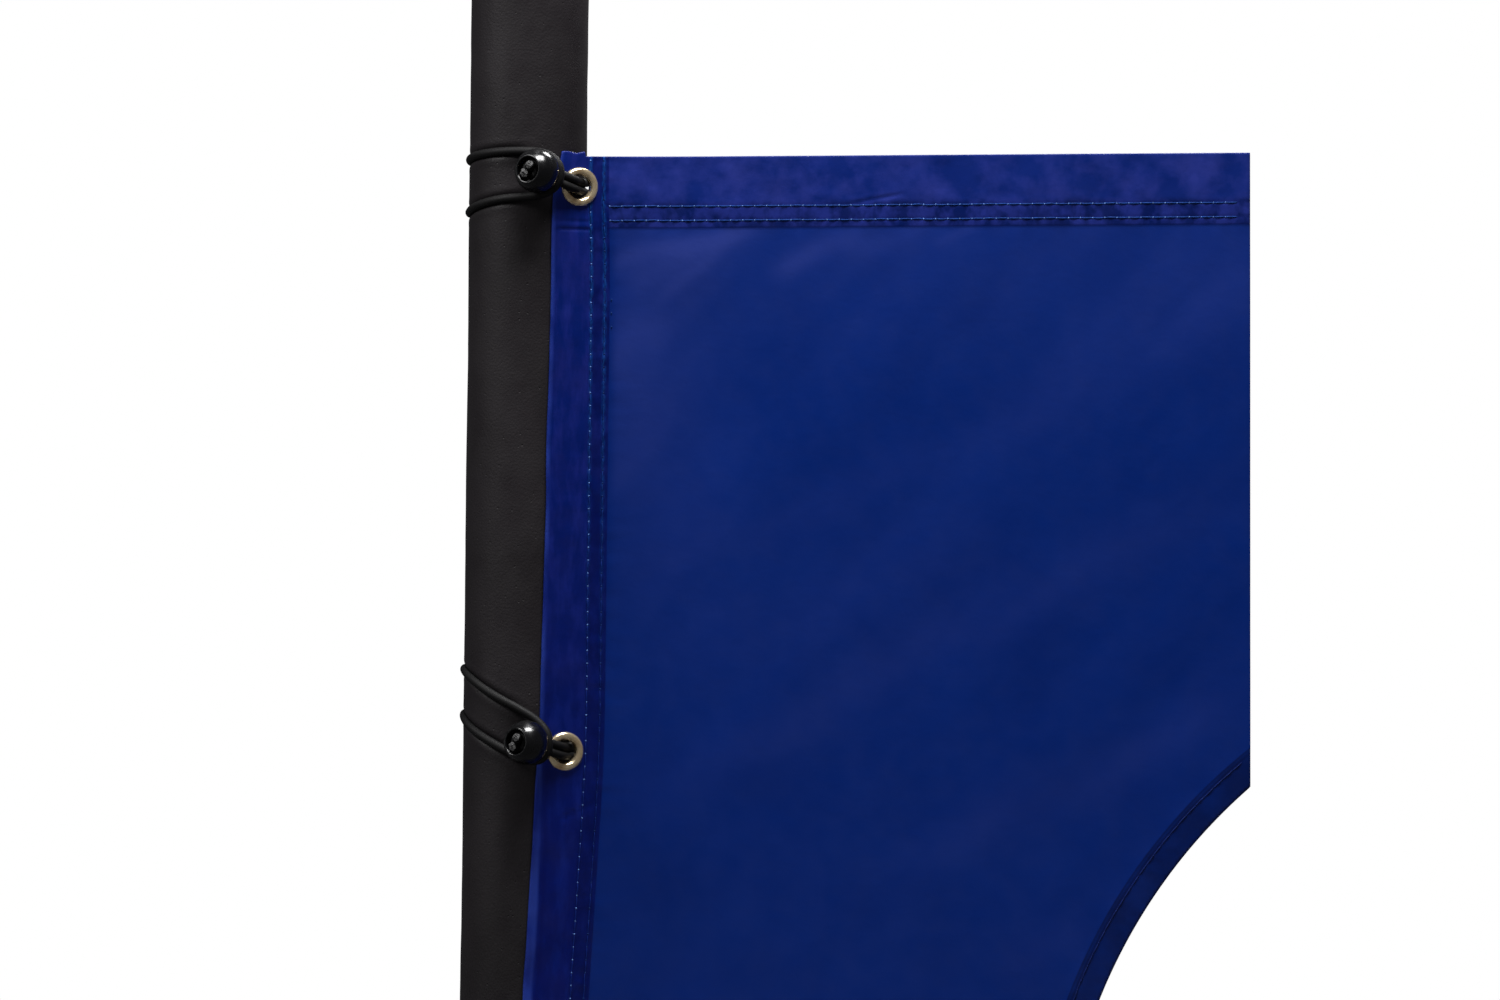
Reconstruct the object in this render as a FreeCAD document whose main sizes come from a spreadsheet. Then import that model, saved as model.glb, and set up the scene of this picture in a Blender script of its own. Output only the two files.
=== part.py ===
"""Ball-bungee fixing of a hemmed target sheet to a foam-sleeved post.

A steel post carries a foam sleeve. The corner of a coated-fabric sheet is tied to the sleeve by
two ball bungees: each cord runs from its ball through a brass eyelet, round the back of the
post, across the front and hooks behind its own ball.

Frame, in millimetres: +Z up the post's axis, +X to the right along the sheet, +Y away from the
side that the balls are on. The origin is halfway along the spigot at the post's lower end.
"""
import FreeCAD
import Part
import math
import os
import Sketcher

V = FreeCAD.Vector

SIZES = {
    # post
    "spigot_radius": 17.3,
    "spigot_half_length": 30.0,
    "spigot_edge": 0.5,
    "swage_length": 6.0,
    "tube_radius": 19.05,
    "tube_wall": 1.5,
    "tube_top": 634.0,
    # top cap
    "cap_radius": 25.0,
    "cap_height": 7.0,
    "cap_plug_length": 22.0,
    "cap_plug_gap": 0.1,
    "cap_plug_wall": 2.5,
    "cap_edge": 3.0,
    # foam sleeve
    "foam_radius": 31.0,
    "foam_bore_gap": 0.3,
    "foam_bottom": 52.0,
    "foam_top": 633.0,
    "foam_edge": 2.5,
    # sheet: layers are measured from the middle of the fabric, front side positive
    "fabric": 0.6,
    "hem": 1.0,
    "thread": 0.25,
    "thread_width": 0.8,
    "foam_to_hem": 0.3,
    "facet_turn": 22.0,
    "facet_end": 38.0,
    "bend_radius": 180.0,
    "corner_x": 13.9,
    "corner_z": 523.4,
    "side_knee": 240.0,
    "side_slope": 0.0138,
    "side_slope_low": 0.0442,
    "seam_x": 34.4,
    "seam_slope_low": 0.042,
    "top_slope": 0.0172,
    "cut_right": 383.4,
    "cut_right_slope": 0.0118,
    "cut_bottom": 56.0,
    "top_hem_width": 38.0,
    "side_hem_margin": 9.8,
    "hole_x": 584.0,
    "hole_z": -28.5,
    "hole_radius": 295.4,
    "hole_hem_width": 16.0,
    "hole_row": 12.7,
    "first_row": 26.2,
    "second_row": 33.8,
    "side_row_gap": 7.1,
    "row_start": 1.0,
    # eyelets and their washers
    "eyelet_bore": 6.1,
    "eyelet_barrel": 6.6,
    "eyelet_flange": 10.3,
    "eyelet_dome": 2.1,
    "eyelet_round": 1.9,
    "eyelet_curl": 8.6,
    "eyelet_curl_height": 0.5,
    "eyelet_curl_round": 0.35,
    "washer_height": 0.5,
    "washer_gap": 0.05,
    # balls, cords and knots
    "ball_radius": 11.75,
    "ball_bore": 5.0,
    "ball_mouth": 6.5,
    "ball_mouth_floor": 1.5,
    "ball_edge": 0.7,
    "cord_radius": 2.25,
    "cord_end": 9.4,
    "cord_inside": 1.0,
    "knot_radius": 5.9,
    "knot_half_height": 3.3,
    "knot_height": 5.2,
    "strand_spread": 2.35,
    "strand_gap": 0.05,
}

# A tie's places. The ball's centre and the eyelet's centre are (x, y, z). The ball's axis points
# out of its mouth: turn is its angle left of straight ahead, rise its angle above level.
# The cord's route is a list of points, each with its height counted from the ball's centre. The
# points on the sleeve are (angle, radius, height): the angle is counted from the front, towards
# +X, and the radius is from the post's axis. The points in the air are (x, y, height).
TIES = {
    "upper": {
        "ball": (5.4, -45.2, 513.9),
        "turn": 33.0,
        "rise": 4.5,
        "eyelet_x": 27.6,
        "eyelet_z": 506.2,
        "neck_out": [(12.2, -35.0, 1.4), (21.0, -33.1, -2.4), (26.7, -28.1, -4.7),
                     (28.4, -20.7, -5.3)],
        "rising": [(76, 32.2, -5.2), (108, 32.2, -4.4), (140, 32.2, -2.4), (172, 32.2, 0.0),
                   (204, 32.2, 2.4), (236, 32.2, 4.4), (268, 32.2, 6.2), (300, 32.2, 8.8),
                   (332, 32.4, 10.6)],
        "bight": [(1.4, -33.8, 10.8), (11.0, -35.0, 9.6), (17.8, -37.6, 3.6), (17.8, -37.4, -5.4),
                  (11.2, -35.0, -11.8), (1.2, -33.6, -13.4)],
        "falling": [(332, 32.4, -14.6), (300, 32.2, -18.2), (268, 32.2, -22.2),
                    (236, 32.2, -21.4), (204, 32.2, -19.4), (172, 32.2, -17.2),
                    (140, 32.2, -14.8), (108, 32.2, -12.2), (76, 32.2, -10.4)],
        "neck_in": [(28.4, -20.7, -10.1), (26.7, -28.1, -9.5), (21.0, -33.1, -7.2),
                    (12.2, -35.0, -3.3)],
    },
    "lower": {
        "ball": (3.1, -46.6, 211.9),
        "turn": 38.0,
        "rise": 3.0,
        "eyelet_x": 23.3,
        "eyelet_z": 207.1,
        "neck_out": [(11.0, -36.6, 1.7), (16.8, -34.8, -0.5), (22.4, -29.9, -2.4),
                     (24.4, -22.5, -2.8)],
        "rising": [(76, 32.2, -0.6), (108, 32.2, 6.4), (140, 32.2, 14.2), (172, 32.2, 22.4),
                   (204, 32.2, 30.2), (236, 32.2, 36.6), (268, 32.2, 39.0), (300, 32.2, 33.6),
                   (332, 32.4, 24.6)],
        "bight": [(0.8, -34.2, 16.6), (9.6, -36.0, 11.0), (15.1, -38.6, 4.0), (15.1, -38.4, -5.2),
                  (9.4, -36.2, -10.6), (0.4, -33.9, -8.6)],
        "falling": [(332, 32.4, -0.8), (300, 32.2, 7.4), (268, 32.2, 14.6), (236, 32.2, 14.0),
                    (204, 32.2, 10.2), (172, 32.2, 5.4), (140, 32.2, 0.6), (108, 32.2, -4.0),
                    (76, 32.2, -7.0)],
        "neck_in": [(24.4, -22.5, -7.6), (22.4, -29.9, -7.1), (16.8, -34.8, -5.3),
                    (11.0, -36.6, -3.0)],
    },
}

# How far the trimming blocks stand out past the sheet, in millimetres.
MARGIN = 40.0

doc = FreeCAD.newDocument("BallBungeeFixing")
sheet = doc.addObject("Spreadsheet::Sheet", "Sizes")
for row, (alias, value) in enumerate(SIZES.items(), start=1):
    sheet.set(f"A{row}", alias)
    sheet.set(f"B{row}", str(value))
    sheet.setAlias(f"B{row}", alias)
doc.recompute()

subparts = []


def size(alias):
    """A driving dimension as the sheet holds it."""
    return float(getattr(sheet, alias))


def keep(item, label, placement=None):
    """Makes an object one of the sub-parts that are written out."""
    item.Label = label
    if placement is not None:
        item.Placement = placement
    subparts.append(item)
    return item


def bind(item, **expressions):
    """Ties an object's properties to the sheet."""
    for name, expression in expressions.items():
        item.setExpression(name, expression)
    return item


# ---------------------------------------------------------------- bodies of revolution

def origin_feature(body, role):
    return next(f for f in body.Origin.OriginFeatures if f.Role == role)


def revolved(label, corners, fillets=(), arcs=None, placement=None):
    """A PartDesign body turned about its own Z axis.

    corners are (radius, height) pairs of expressions, in order round the half section. arcs maps
    the number of a side to the expression of its radius, for a side that bulges about the
    origin. fillets are (corner number, expression) pairs.
    """
    arcs = arcs or {}
    body = doc.addObject("PartDesign::Body", label + "_body")
    sketch = body.newObject("Sketcher::SketchObject", label + "_section")
    sketch.AttachmentSupport = [(origin_feature(body, "XZ_Plane"), "")]
    sketch.MapMode = "FlatFace"
    points = [V(value_of(r), value_of(z), 0) for r, z in corners]
    count = len(points)
    for i, start in enumerate(points):
        end = points[(i + 1) % count]
        if i in arcs:
            radius = value_of(arcs[i])
            first = math.atan2(start.y, start.x)
            last = math.atan2(end.y, end.x)
            circle = Part.Circle(V(0, 0, 0), V(0, 0, 1), radius)
            sketch.addGeometry(Part.ArcOfCircle(circle, first, last))
        else:
            sketch.addGeometry(Part.LineSegment(start, end))
    for i in range(count):
        sketch.addConstraint(Sketcher.Constraint("Coincident", i, 2, (i + 1) % count, 1))
    for i, (r, z) in enumerate(corners):
        for kind, expression in (("DistanceX", r), ("DistanceY", z)):
            value = value_of(expression)
            index = sketch.addConstraint(Sketcher.Constraint(kind, i, 1, value))
            sketch.setExpression(f"Constraints[{index}]", expression)
    for i, expression in arcs.items():
        index = sketch.addConstraint(Sketcher.Constraint("Radius", i, value_of(expression)))
        sketch.setExpression(f"Constraints[{index}]", expression)
    turn = body.newObject("PartDesign::Revolution", label + "_turn")
    turn.Profile = sketch
    turn.ReferenceAxis = (sketch, ["V_Axis"])
    turn.Angle = 360.0
    doc.recompute()
    base = turn
    for corner, expression in fillets:
        fillet = body.newObject("PartDesign::Fillet", f"{label}_round_{corner}")
        fillet.Base = (base, [circle_edge(base.Shape, points[corner])])
        fillet.setExpression("Radius", expression)
        doc.recompute()
        base = fillet
    return keep(body, label, placement)


def circle_edge(shape, corner):
    """The name of the round edge that a corner of the section makes."""
    for number, edge in enumerate(shape.Edges, start=1):
        curve = edge.Curve
        if isinstance(curve, Part.Circle):
            radius_fits = abs(curve.Radius - corner.x) < 0.01
            if radius_fits and abs(curve.Center.z - corner.y) < 0.01:
                return f"Edge{number}"
    raise RuntimeError(f"no round edge at radius {corner.x}, height {corner.y}")


def value_of(expression):
    """The value of an expression on the sheet, as the document itself works it out."""
    return float(sheet.evalExpression(expression.replace("Sizes.", "")))


def build_post():
    inner = "Sizes.tube_radius - Sizes.tube_wall"
    narrow = "Sizes.spigot_radius - Sizes.tube_wall"
    low = "-Sizes.spigot_half_length"
    shoulder = "Sizes.spigot_half_length"
    full = "Sizes.spigot_half_length + Sizes.swage_length"
    top = "Sizes.tube_top"
    corners = [
        (narrow, low), ("Sizes.spigot_radius", low), ("Sizes.spigot_radius", shoulder),
        ("Sizes.tube_radius", full), ("Sizes.tube_radius", top), (inner, top), (inner, full),
        (narrow, shoulder),
    ]
    revolved("post_tube", corners, fillets=[(1, "Sizes.spigot_edge")])


def build_cap():
    bore = "Sizes.tube_radius - Sizes.tube_wall - Sizes.cap_plug_gap"
    inside = bore + " - Sizes.cap_plug_wall"
    rim = "Sizes.tube_top"
    top = "Sizes.tube_top + Sizes.cap_height"
    end = "Sizes.tube_top - Sizes.cap_plug_length"
    corners = [
        ("0", rim), (inside, rim), (inside, end), (bore, end), (bore, rim),
        ("Sizes.cap_radius", rim), ("Sizes.cap_radius", top), ("0", top),
    ]
    revolved("top_cap", corners, fillets=[(6, "Sizes.cap_edge")])


def build_foam():
    bore = "Sizes.tube_radius + Sizes.foam_bore_gap"
    corners = [
        (bore, "Sizes.foam_bottom"), ("Sizes.foam_radius", "Sizes.foam_bottom"),
        ("Sizes.foam_radius", "Sizes.foam_top"), (bore, "Sizes.foam_top"),
    ]
    edges = [(1, "Sizes.foam_edge"), (2, "Sizes.foam_edge")]
    revolved("foam_sleeve", corners, fillets=edges)


# ---------------------------------------------------------------- the sheet and its hems

def facet_frame():
    """A point on the margin's middle surface, its run direction and its front normal."""
    turn = math.radians(size("facet_turn"))
    reach = size("foam_radius") + size("foam_to_hem") + size("hem") + size("fabric") / 2
    normal = V(math.sin(turn), -math.cos(turn), 0)
    along = V(math.cos(turn), math.sin(turn), 0)
    return normal * reach, along, normal


def facet_point(x):
    """The point of the margin's middle surface at a given x."""
    contact, along, _ = facet_frame()
    return contact + along * ((x - contact.x) / along.x)


def bend_centre():
    """The centre of the large bend between the margin and the flat of the sheet."""
    _, _, normal = facet_frame()
    return facet_point(size("facet_end")) + normal * size("bend_radius")


def layer_edges(offset, left_x, right_x):
    """The middle surface's run, shifted by offset towards the front: straight, bend, straight."""
    _, _, normal = facet_frame()
    centre = bend_centre()
    radius = size("bend_radius") - offset
    start = facet_point(left_x) + normal * offset
    bend_start = centre - normal * radius
    bend_end = centre + V(0, radius, 0)
    middle_turn = math.radians(size("facet_turn")) / 2
    bend_middle = centre - V(math.sin(middle_turn), -math.cos(middle_turn), 0) * radius
    end = V(right_x, bend_end.y, 0)
    return start, bend_start, bend_middle, bend_end, end


def layer(back, front, left_x, right_x, low, high):
    """A slab of the sheet's run between two offsets, two x positions and two heights."""
    a = layer_edges(back, left_x, right_x)
    b = layer_edges(front, left_x, right_x)
    edges = [
        Part.LineSegment(a[0], a[1]).toShape(), Part.Arc(a[1], a[2], a[3]).toShape(),
        Part.LineSegment(a[3], a[4]).toShape(), Part.LineSegment(a[4], b[4]).toShape(),
        Part.LineSegment(b[4], b[3]).toShape(), Part.Arc(b[3], b[2], b[1]).toShape(),
        Part.LineSegment(b[1], b[0]).toShape(), Part.LineSegment(b[0], a[0]).toShape(),
    ]
    face = Part.Face(Part.Wire(edges))
    face.translate(V(0, 0, low))
    return face.extrude(V(0, 0, high - low))


def below_knee(z):
    """How far a height is below the knee of the side edge, and 0 above it."""
    return max(size("side_knee") - z, 0.0)


def edge_x(z):
    """The x of the sheet's side edge, which leans more below its knee."""
    drop = size("corner_z") - max(z, size("side_knee"))
    return (size("corner_x") - size("side_slope") * drop
            - size("side_slope_low") * below_knee(z))


def seam_x(z, inset):
    """The x of a line inset to the right of the side hem's first row of stitches."""
    return size("seam_x") + inset - size("seam_slope_low") * below_knee(z)


def upright_line(x_at, *inset):
    """A line down the sheet, with its points from above the sheet's top to the cut."""
    heights = (size("corner_z") + MARGIN, size("side_knee"), size("cut_bottom"))
    return [(x_at(z, *inset), z) for z in heights]


def top_z(x, inset=0.0):
    """The height of the sheet's top edge, or of a line inset below it."""
    return size("corner_z") + size("top_slope") * (x - size("corner_x")) - inset


def right_x(z):
    """The x of the cut at the right-hand end."""
    return size("cut_right") + size("cut_right_slope") * (size("corner_z") - z)


def prism(corners):
    """A block through the whole depth of the sheet over an outline in x and z."""
    points = [V(x, -MARGIN, z) for x, z in corners]
    return Part.Face(Part.makePolygon(points + points[:1])).extrude(V(0, 2 * MARGIN, 0))


def band(left, right, top_from, top_to):
    """The block between two lines down the sheet and two insets from its top edge.

    A right of None runs on to the cut at the right, and a top_to of None to the cut below.
    """
    low, far = size("cut_bottom"), size("cut_right") + MARGIN
    block = prism(left + list(reversed(right or upright_line(right_x))))
    near = -MARGIN
    upper = [(near, top_z(near, top_from)), (far, top_z(far, top_from))]
    if top_to is None:
        lower = [(far, low), (near, low)]
    else:
        lower = [(far, top_z(far, top_to)), (near, top_z(near, top_to))]
    return block.common(prism(upper + lower))


def hole(extra=0.0):
    """A round block over the hole, larger than it by extra."""
    base = V(size("hole_x"), -MARGIN, size("hole_z"))
    return Part.makeCylinder(size("hole_radius") + extra, 2 * MARGIN, base, V(0, 1, 0))


def slab(back, front):
    """All of the sheet's run between two offsets, before it is trimmed."""
    right, high = size("cut_right") + MARGIN, size("corner_z") + MARGIN
    return layer(back, front, size("corner_x") - MARGIN, right, size("cut_bottom"), high)


def eyelet_blocks(radius):
    """A round block through the margin at each eyelet."""
    holes = []
    for tie in TIES.values():
        place = eyelet_placement(tie)
        normal = place.Rotation.multVec(V(0, 0, 1))
        start = place.Base - normal * radius
        holes.append(Part.makeCylinder(radius, 2 * radius, start, normal))
    return holes


def shape_feature(label, shape):
    """A sub-part whose shape is made from the sheet's own sizes by this file's functions."""
    item = doc.addObject("Part::Feature", label + "_shape")
    item.Shape = shape
    return keep(item, label)


def one_solid(shape):
    """The only solid of a boolean's result."""
    if len(shape.Solids) != 1:
        raise RuntimeError(f"expected one solid and found {len(shape.Solids)}")
    return shape.Solids[0]


def build_sheet():
    half = size("fabric") / 2
    back = -half - size("hem")
    front = half + size("thread")
    width = size("thread_width") / 2
    top = size("top_hem_width")
    edge = upright_line(edge_x)
    hem_end = upright_line(seam_x, size("side_hem_margin"))
    holes = eyelet_blocks(size("eyelet_barrel") + size("washer_gap"))
    flanges = eyelet_blocks(size("eyelet_flange") + size("washer_gap"))

    panel = slab(-half, half).common(band(edge, None, 0, None)).cut(hole())
    for drill in holes:
        panel = panel.cut(drill)
    shape_feature("sheet_panel", one_solid(panel))

    side_hem = slab(back, -half).common(band(edge, hem_end, 0, None))
    for drill in holes:
        side_hem = side_hem.cut(drill)
    shape_feature("side_hem", one_solid(side_hem))

    top_hem = slab(back, -half).common(band(hem_end, None, 0, top))
    shape_feature("top_hem", one_solid(top_hem))

    ring = hole(size("hole_hem_width")).cut(hole())
    hole_hem = slab(back, -half).common(band(hem_end, None, top, None)).common(ring)
    shape_feature("hole_hem", one_solid(hole_hem))

    for name, inset in (("first", 0.0), ("second", size("side_row_gap"))):
        left, right = upright_line(seam_x, inset - width), upright_line(seam_x, inset + width)
        line = band(left, right, size("row_start"), None)
        shape_feature(f"side_{name}_thread", slab(half, front).common(line).cut(flanges))
    for name, inset in (("first", "first_row"), ("second", "second_row")):
        start = upright_line(seam_x, size("side_row_gap") + 2 * width)
        line = band(start, None, size(inset) - width, size(inset) + width)
        shape_feature(f"top_{name}_thread", one_solid(slab(half, front).common(line)))
    row = size("hole_row")
    ring = hole(row + width).cut(hole(row - width))
    line = slab(half, front).common(band(hem_end, None, top, None)).common(ring)
    shape_feature("hole_thread", one_solid(line))


# ---------------------------------------------------------------- eyelets

def eyelet_placement(tie):
    """An eyelet's place: its own Z axis is the margin's front normal."""
    _, _, normal = facet_frame()
    centre = facet_point(tie["eyelet_x"])
    centre.z = tie["eyelet_z"]
    return FreeCAD.Placement(centre, FreeCAD.Rotation(V(0, 0, 1), normal))


def build_eyelets():
    face = "Sizes.fabric / 2"
    crown = "Sizes.fabric / 2 + Sizes.eyelet_dome"
    seat = "-(Sizes.fabric / 2 + Sizes.hem)"
    under = "-(Sizes.fabric / 2 + Sizes.hem + Sizes.washer_height)"
    end = "-(Sizes.fabric / 2 + Sizes.hem + Sizes.washer_height + Sizes.eyelet_curl_height)"
    eyelet = [
        ("Sizes.eyelet_bore", end), ("Sizes.eyelet_curl", end), ("Sizes.eyelet_curl", under),
        ("Sizes.eyelet_barrel", under), ("Sizes.eyelet_barrel", face),
        ("Sizes.eyelet_flange", face), ("Sizes.eyelet_flange", crown),
        ("Sizes.eyelet_bore", crown),
    ]
    rounds = [
        (6, "Sizes.eyelet_round"), (7, "Sizes.eyelet_round"),
        (0, "Sizes.eyelet_curl_round"), (1, "Sizes.eyelet_curl_round"),
    ]
    inner = "Sizes.eyelet_barrel + Sizes.washer_gap"
    washer = [
        (inner, under), ("Sizes.eyelet_flange", under), ("Sizes.eyelet_flange", seat),
        (inner, seat),
    ]
    for name, tie in TIES.items():
        place = eyelet_placement(tie)
        revolved(f"eyelet_{name}", eyelet, fillets=rounds, placement=place)
        revolved(f"washer_{name}", washer, placement=place)


# ---------------------------------------------------------------- balls, knots and cords

def ball_axis(tie):
    """The unit vector out of a ball's mouth."""
    turn, rise = math.radians(tie["turn"]), math.radians(tie["rise"])
    level = math.cos(rise)
    return V(-math.sin(turn) * level, -math.cos(turn) * level, math.sin(rise))


def ball_placement(tie):
    """A ball's place: its own Z axis points out of its mouth, and its X axis is level."""
    axis = ball_axis(tie)
    level = V(0, 0, 1).cross(axis).normalize()
    upright = axis.cross(level)
    matrix = FreeCAD.Matrix(
        level.x, upright.x, axis.x, 0, level.y, upright.y, axis.y, 0,
        level.z, upright.z, axis.z, 0, 0, 0, 0, 1)
    return FreeCAD.Placement(V(*tie["ball"]), FreeCAD.Rotation(matrix))


def build_balls():
    back = "-sqrt(Sizes.ball_radius ^ 2 - Sizes.ball_bore ^ 2)"
    mouth = "sqrt(Sizes.ball_radius ^ 2 - Sizes.ball_mouth ^ 2)"
    corners = [
        ("Sizes.ball_bore", back), ("Sizes.ball_mouth", mouth),
        ("Sizes.ball_mouth", "Sizes.ball_mouth_floor"),
        ("Sizes.ball_bore", "Sizes.ball_mouth_floor"),
    ]
    rounds = [(0, "Sizes.ball_edge"), (1, "Sizes.ball_edge")]
    for name, tie in TIES.items():
        arcs = {0: "Sizes.ball_radius"}
        revolved(f"ball_{name}", corners, fillets=rounds, arcs=arcs, placement=ball_placement(tie))


def build_knots():
    for name, tie in TIES.items():
        lump = doc.addObject("Part::Ellipsoid", f"knot_{name}_lump")
        bind(lump, Radius1="Sizes.knot_half_height", Radius2="Sizes.knot_radius")
        lump.Radius3 = 0
        lump.Angle1 = -90
        lump.Angle2 = 90
        strands = []
        for side in ("-", ""):
            strand = doc.addObject("Part::Cylinder", f"knot_{name}_strand")
            bind(strand, Radius="Sizes.cord_radius + Sizes.strand_gap")
            bind(strand, Height="4 * Sizes.knot_half_height")
            strand.setExpression("Placement.Base.z", "-2 * Sizes.knot_half_height")
            strand.setExpression("Placement.Base.y", f"{side}Sizes.strand_spread")
            strands.append(strand)
        both = doc.addObject("Part::MultiFuse", f"knot_{name}_strands")
        both.Shapes = strands
        cut = doc.addObject("Part::Cut", f"knot_{name}_cut")
        cut.Base = lump
        cut.Tool = both
        place = ball_placement(tie)
        place.Base = place.Base + ball_axis(tie) * size("knot_height")
        keep(cut, f"knot_{name}", place)


def on_sleeve(point, height):
    """A route point given by its angle from the front, its radius and its height."""
    angle, radius, rise = math.radians(point[0]), point[1], point[2]
    return V(radius * math.sin(angle), -radius * math.cos(angle), height + rise)


def in_air(point, height):
    """A route point given by its x, its y and its height."""
    return V(point[0], point[1], height + point[2])


def cord_route(tie):
    """A cord's points, from one cut end in the ball to the other."""
    centre, axis = V(*tie["ball"]), ball_axis(tie)
    upright = axis.cross(V(0, 0, 1).cross(axis).normalize())
    spread = size("strand_spread")
    height = centre.z
    inside = [centre + axis * size("cord_end"), centre - axis * size("cord_inside")]
    start = [p + upright * spread for p in inside]
    finish = [p - upright * spread for p in reversed(inside)]
    route = start + [in_air(p, height) for p in tie["neck_out"]]
    route += [on_sleeve(p, height) for p in tie["rising"]]
    route += [in_air(p, height) for p in tie["bight"]]
    route += [on_sleeve(p, height) for p in tie["falling"]]
    route += [in_air(p, height) for p in tie["neck_in"]]
    return route + finish


def rounded_path(route, share=0.45):
    """Straight runs joined by tangent arcs, each as large as its two runs allow."""
    edges, radii = [], []
    at = route[0]
    for before, corner, after in zip(route, route[1:], route[2:]):
        back, ahead = before - corner, after - corner
        cut = share * min(back.Length, ahead.Length)
        half_turn = (math.pi - back.getAngle(ahead)) / 2
        start = corner + back.normalize() * cut
        end = corner + ahead.normalize() * cut
        radius = cut / math.tan(half_turn)
        chord_middle = (start + end) * 0.5
        inward = (chord_middle - corner).normalize()
        middle = corner + inward * (radius / math.cos(half_turn) - radius)
        edges.append(Part.LineSegment(at, start).toShape())
        edges.append(Part.Arc(start, middle, end).toShape())
        radii.append(radius)
        at = end
    edges.append(Part.LineSegment(at, route[-1]).toShape())
    return Part.Wire(edges), radii


def build_cords():
    radius = size("cord_radius")
    for name, tie in TIES.items():
        route = cord_route(tie)
        path, radii = rounded_path(route)
        along = route[1] - route[0]
        ring = Part.Wire([Part.Circle(route[0], along, radius).toShape()])
        tube = path.makePipeShell([ring], True, False)
        expected = math.pi * radius ** 2 * path.Length
        share = tube.Volume / expected
        print(f"cord_{name}: length {path.Length:.1f} mm, volume {share:.4f} of section x length")
        print("  arc radii:", " ".join(f"{r:.1f}" for r in radii))
        shape_feature(f"cord_{name}", one_solid(tube))


# ---------------------------------------------------------------- build, check and write

build_post()
build_cap()
build_foam()
build_sheet()
build_eyelets()
build_balls()
build_knots()
build_cords()
doc.recompute()

for item in doc.Objects:
    if "Invalid" in item.State or "Error" in item.State:
        raise RuntimeError(f"{item.Name} has failed: {item.State}")
for item in subparts:
    if item.Shape.isNull() or not item.Shape.isValid() or item.Shape.Volume <= 0:
        raise RuntimeError(f"{item.Label} has no valid shape")

os.makedirs("parts", exist_ok=True)
for item in subparts:
    item.Shape.exportStep(f"parts/{item.Label}.step")
    box = item.Shape.BoundBox
    print(f"{item.Label}: {item.Shape.Volume:.1f} mm3, x {box.XMin:.1f}..{box.XMax:.1f}, "
          f"y {box.YMin:.1f}..{box.YMax:.1f}, z {box.ZMin:.1f}..{box.ZMax:.1f}")
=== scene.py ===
import bpy
import math
import numpy as np
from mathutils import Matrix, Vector
from mathutils.kdtree import KDTree


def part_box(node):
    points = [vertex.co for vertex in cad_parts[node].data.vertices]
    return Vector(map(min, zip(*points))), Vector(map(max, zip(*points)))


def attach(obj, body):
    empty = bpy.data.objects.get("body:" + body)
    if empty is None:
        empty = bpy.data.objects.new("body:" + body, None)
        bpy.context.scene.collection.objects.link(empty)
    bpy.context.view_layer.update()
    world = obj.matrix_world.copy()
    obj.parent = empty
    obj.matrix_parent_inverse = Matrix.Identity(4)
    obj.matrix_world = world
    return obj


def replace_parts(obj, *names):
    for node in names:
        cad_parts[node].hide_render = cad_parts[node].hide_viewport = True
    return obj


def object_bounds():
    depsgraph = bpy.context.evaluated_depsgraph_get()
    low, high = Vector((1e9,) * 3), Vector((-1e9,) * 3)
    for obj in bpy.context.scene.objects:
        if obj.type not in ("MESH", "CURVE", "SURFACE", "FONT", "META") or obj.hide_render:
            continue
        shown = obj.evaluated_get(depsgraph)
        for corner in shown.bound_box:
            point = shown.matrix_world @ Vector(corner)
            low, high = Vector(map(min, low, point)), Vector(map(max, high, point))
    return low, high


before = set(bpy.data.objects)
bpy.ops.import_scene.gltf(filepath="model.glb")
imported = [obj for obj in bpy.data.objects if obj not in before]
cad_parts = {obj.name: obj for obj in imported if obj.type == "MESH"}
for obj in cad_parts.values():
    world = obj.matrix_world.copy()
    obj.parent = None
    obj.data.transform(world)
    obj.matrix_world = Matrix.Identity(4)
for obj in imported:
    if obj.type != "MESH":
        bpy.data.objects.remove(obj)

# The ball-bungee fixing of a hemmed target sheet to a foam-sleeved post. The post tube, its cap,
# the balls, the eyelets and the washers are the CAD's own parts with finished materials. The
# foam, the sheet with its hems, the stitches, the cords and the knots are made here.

CAD_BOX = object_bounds()
MM = 0.001

# The sheet in millimetres: the CAD's sizes, with its seams' slopes a little finer. On the sheet,
# s runs in from the side edge and t runs down from the top edge.
FABRIC = 0.6
HEM = 1.0
FOAM_TO_HEM = 0.3
FACET_TURN = math.radians(22.0)
FACET_END = 38.0
BEND_RADIUS = 180.0
CORNER_X = 13.9
CORNER_Z = 523.4
SIDE_KNEE = 240.0
SIDE_SLOPE = 0.0138
SIDE_SLOPE_LOW = 0.0442
SEAM_KNEE = 205.0
SEAM_X = 34.4
SEAM_SLOPE_LOW = 0.054
TOP_SLOPE = 0.0184
TOP_SAG = 1.5
RIM = 0.75
SHEET_CELL = 2.4
CUT_RIGHT = 383.4
CUT_RIGHT_SLOPE = 0.0118
CUT_BOTTOM = 56.0
TOP_HEM = 38.0
SIDE_HEM = 35.0
HOLE = (584.0, -28.5, 295.4)
HOLE_HEM = 16.0
HOLE_ROW = 12.7
TOP_ROWS = (26.2, 33.8)
SIDE_ROWS = (24.4, 32.06)
STITCH = 6.85
CORD_RADIUS = 2.25
CORD_SIDES = 40
STRAND_SPREAD = 2.35
FOAM_SIDES = 256
FOAM_EDGE = 2.5
FOAM_PROUD = 0.2
THREAD_RADIUS = 0.36
NEEDLE_DEPTH, THREAD_RISE = -0.25, 0.24
DOT_RADIUS = 0.42
FLOOR_RADIUS = 0.7
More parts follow.
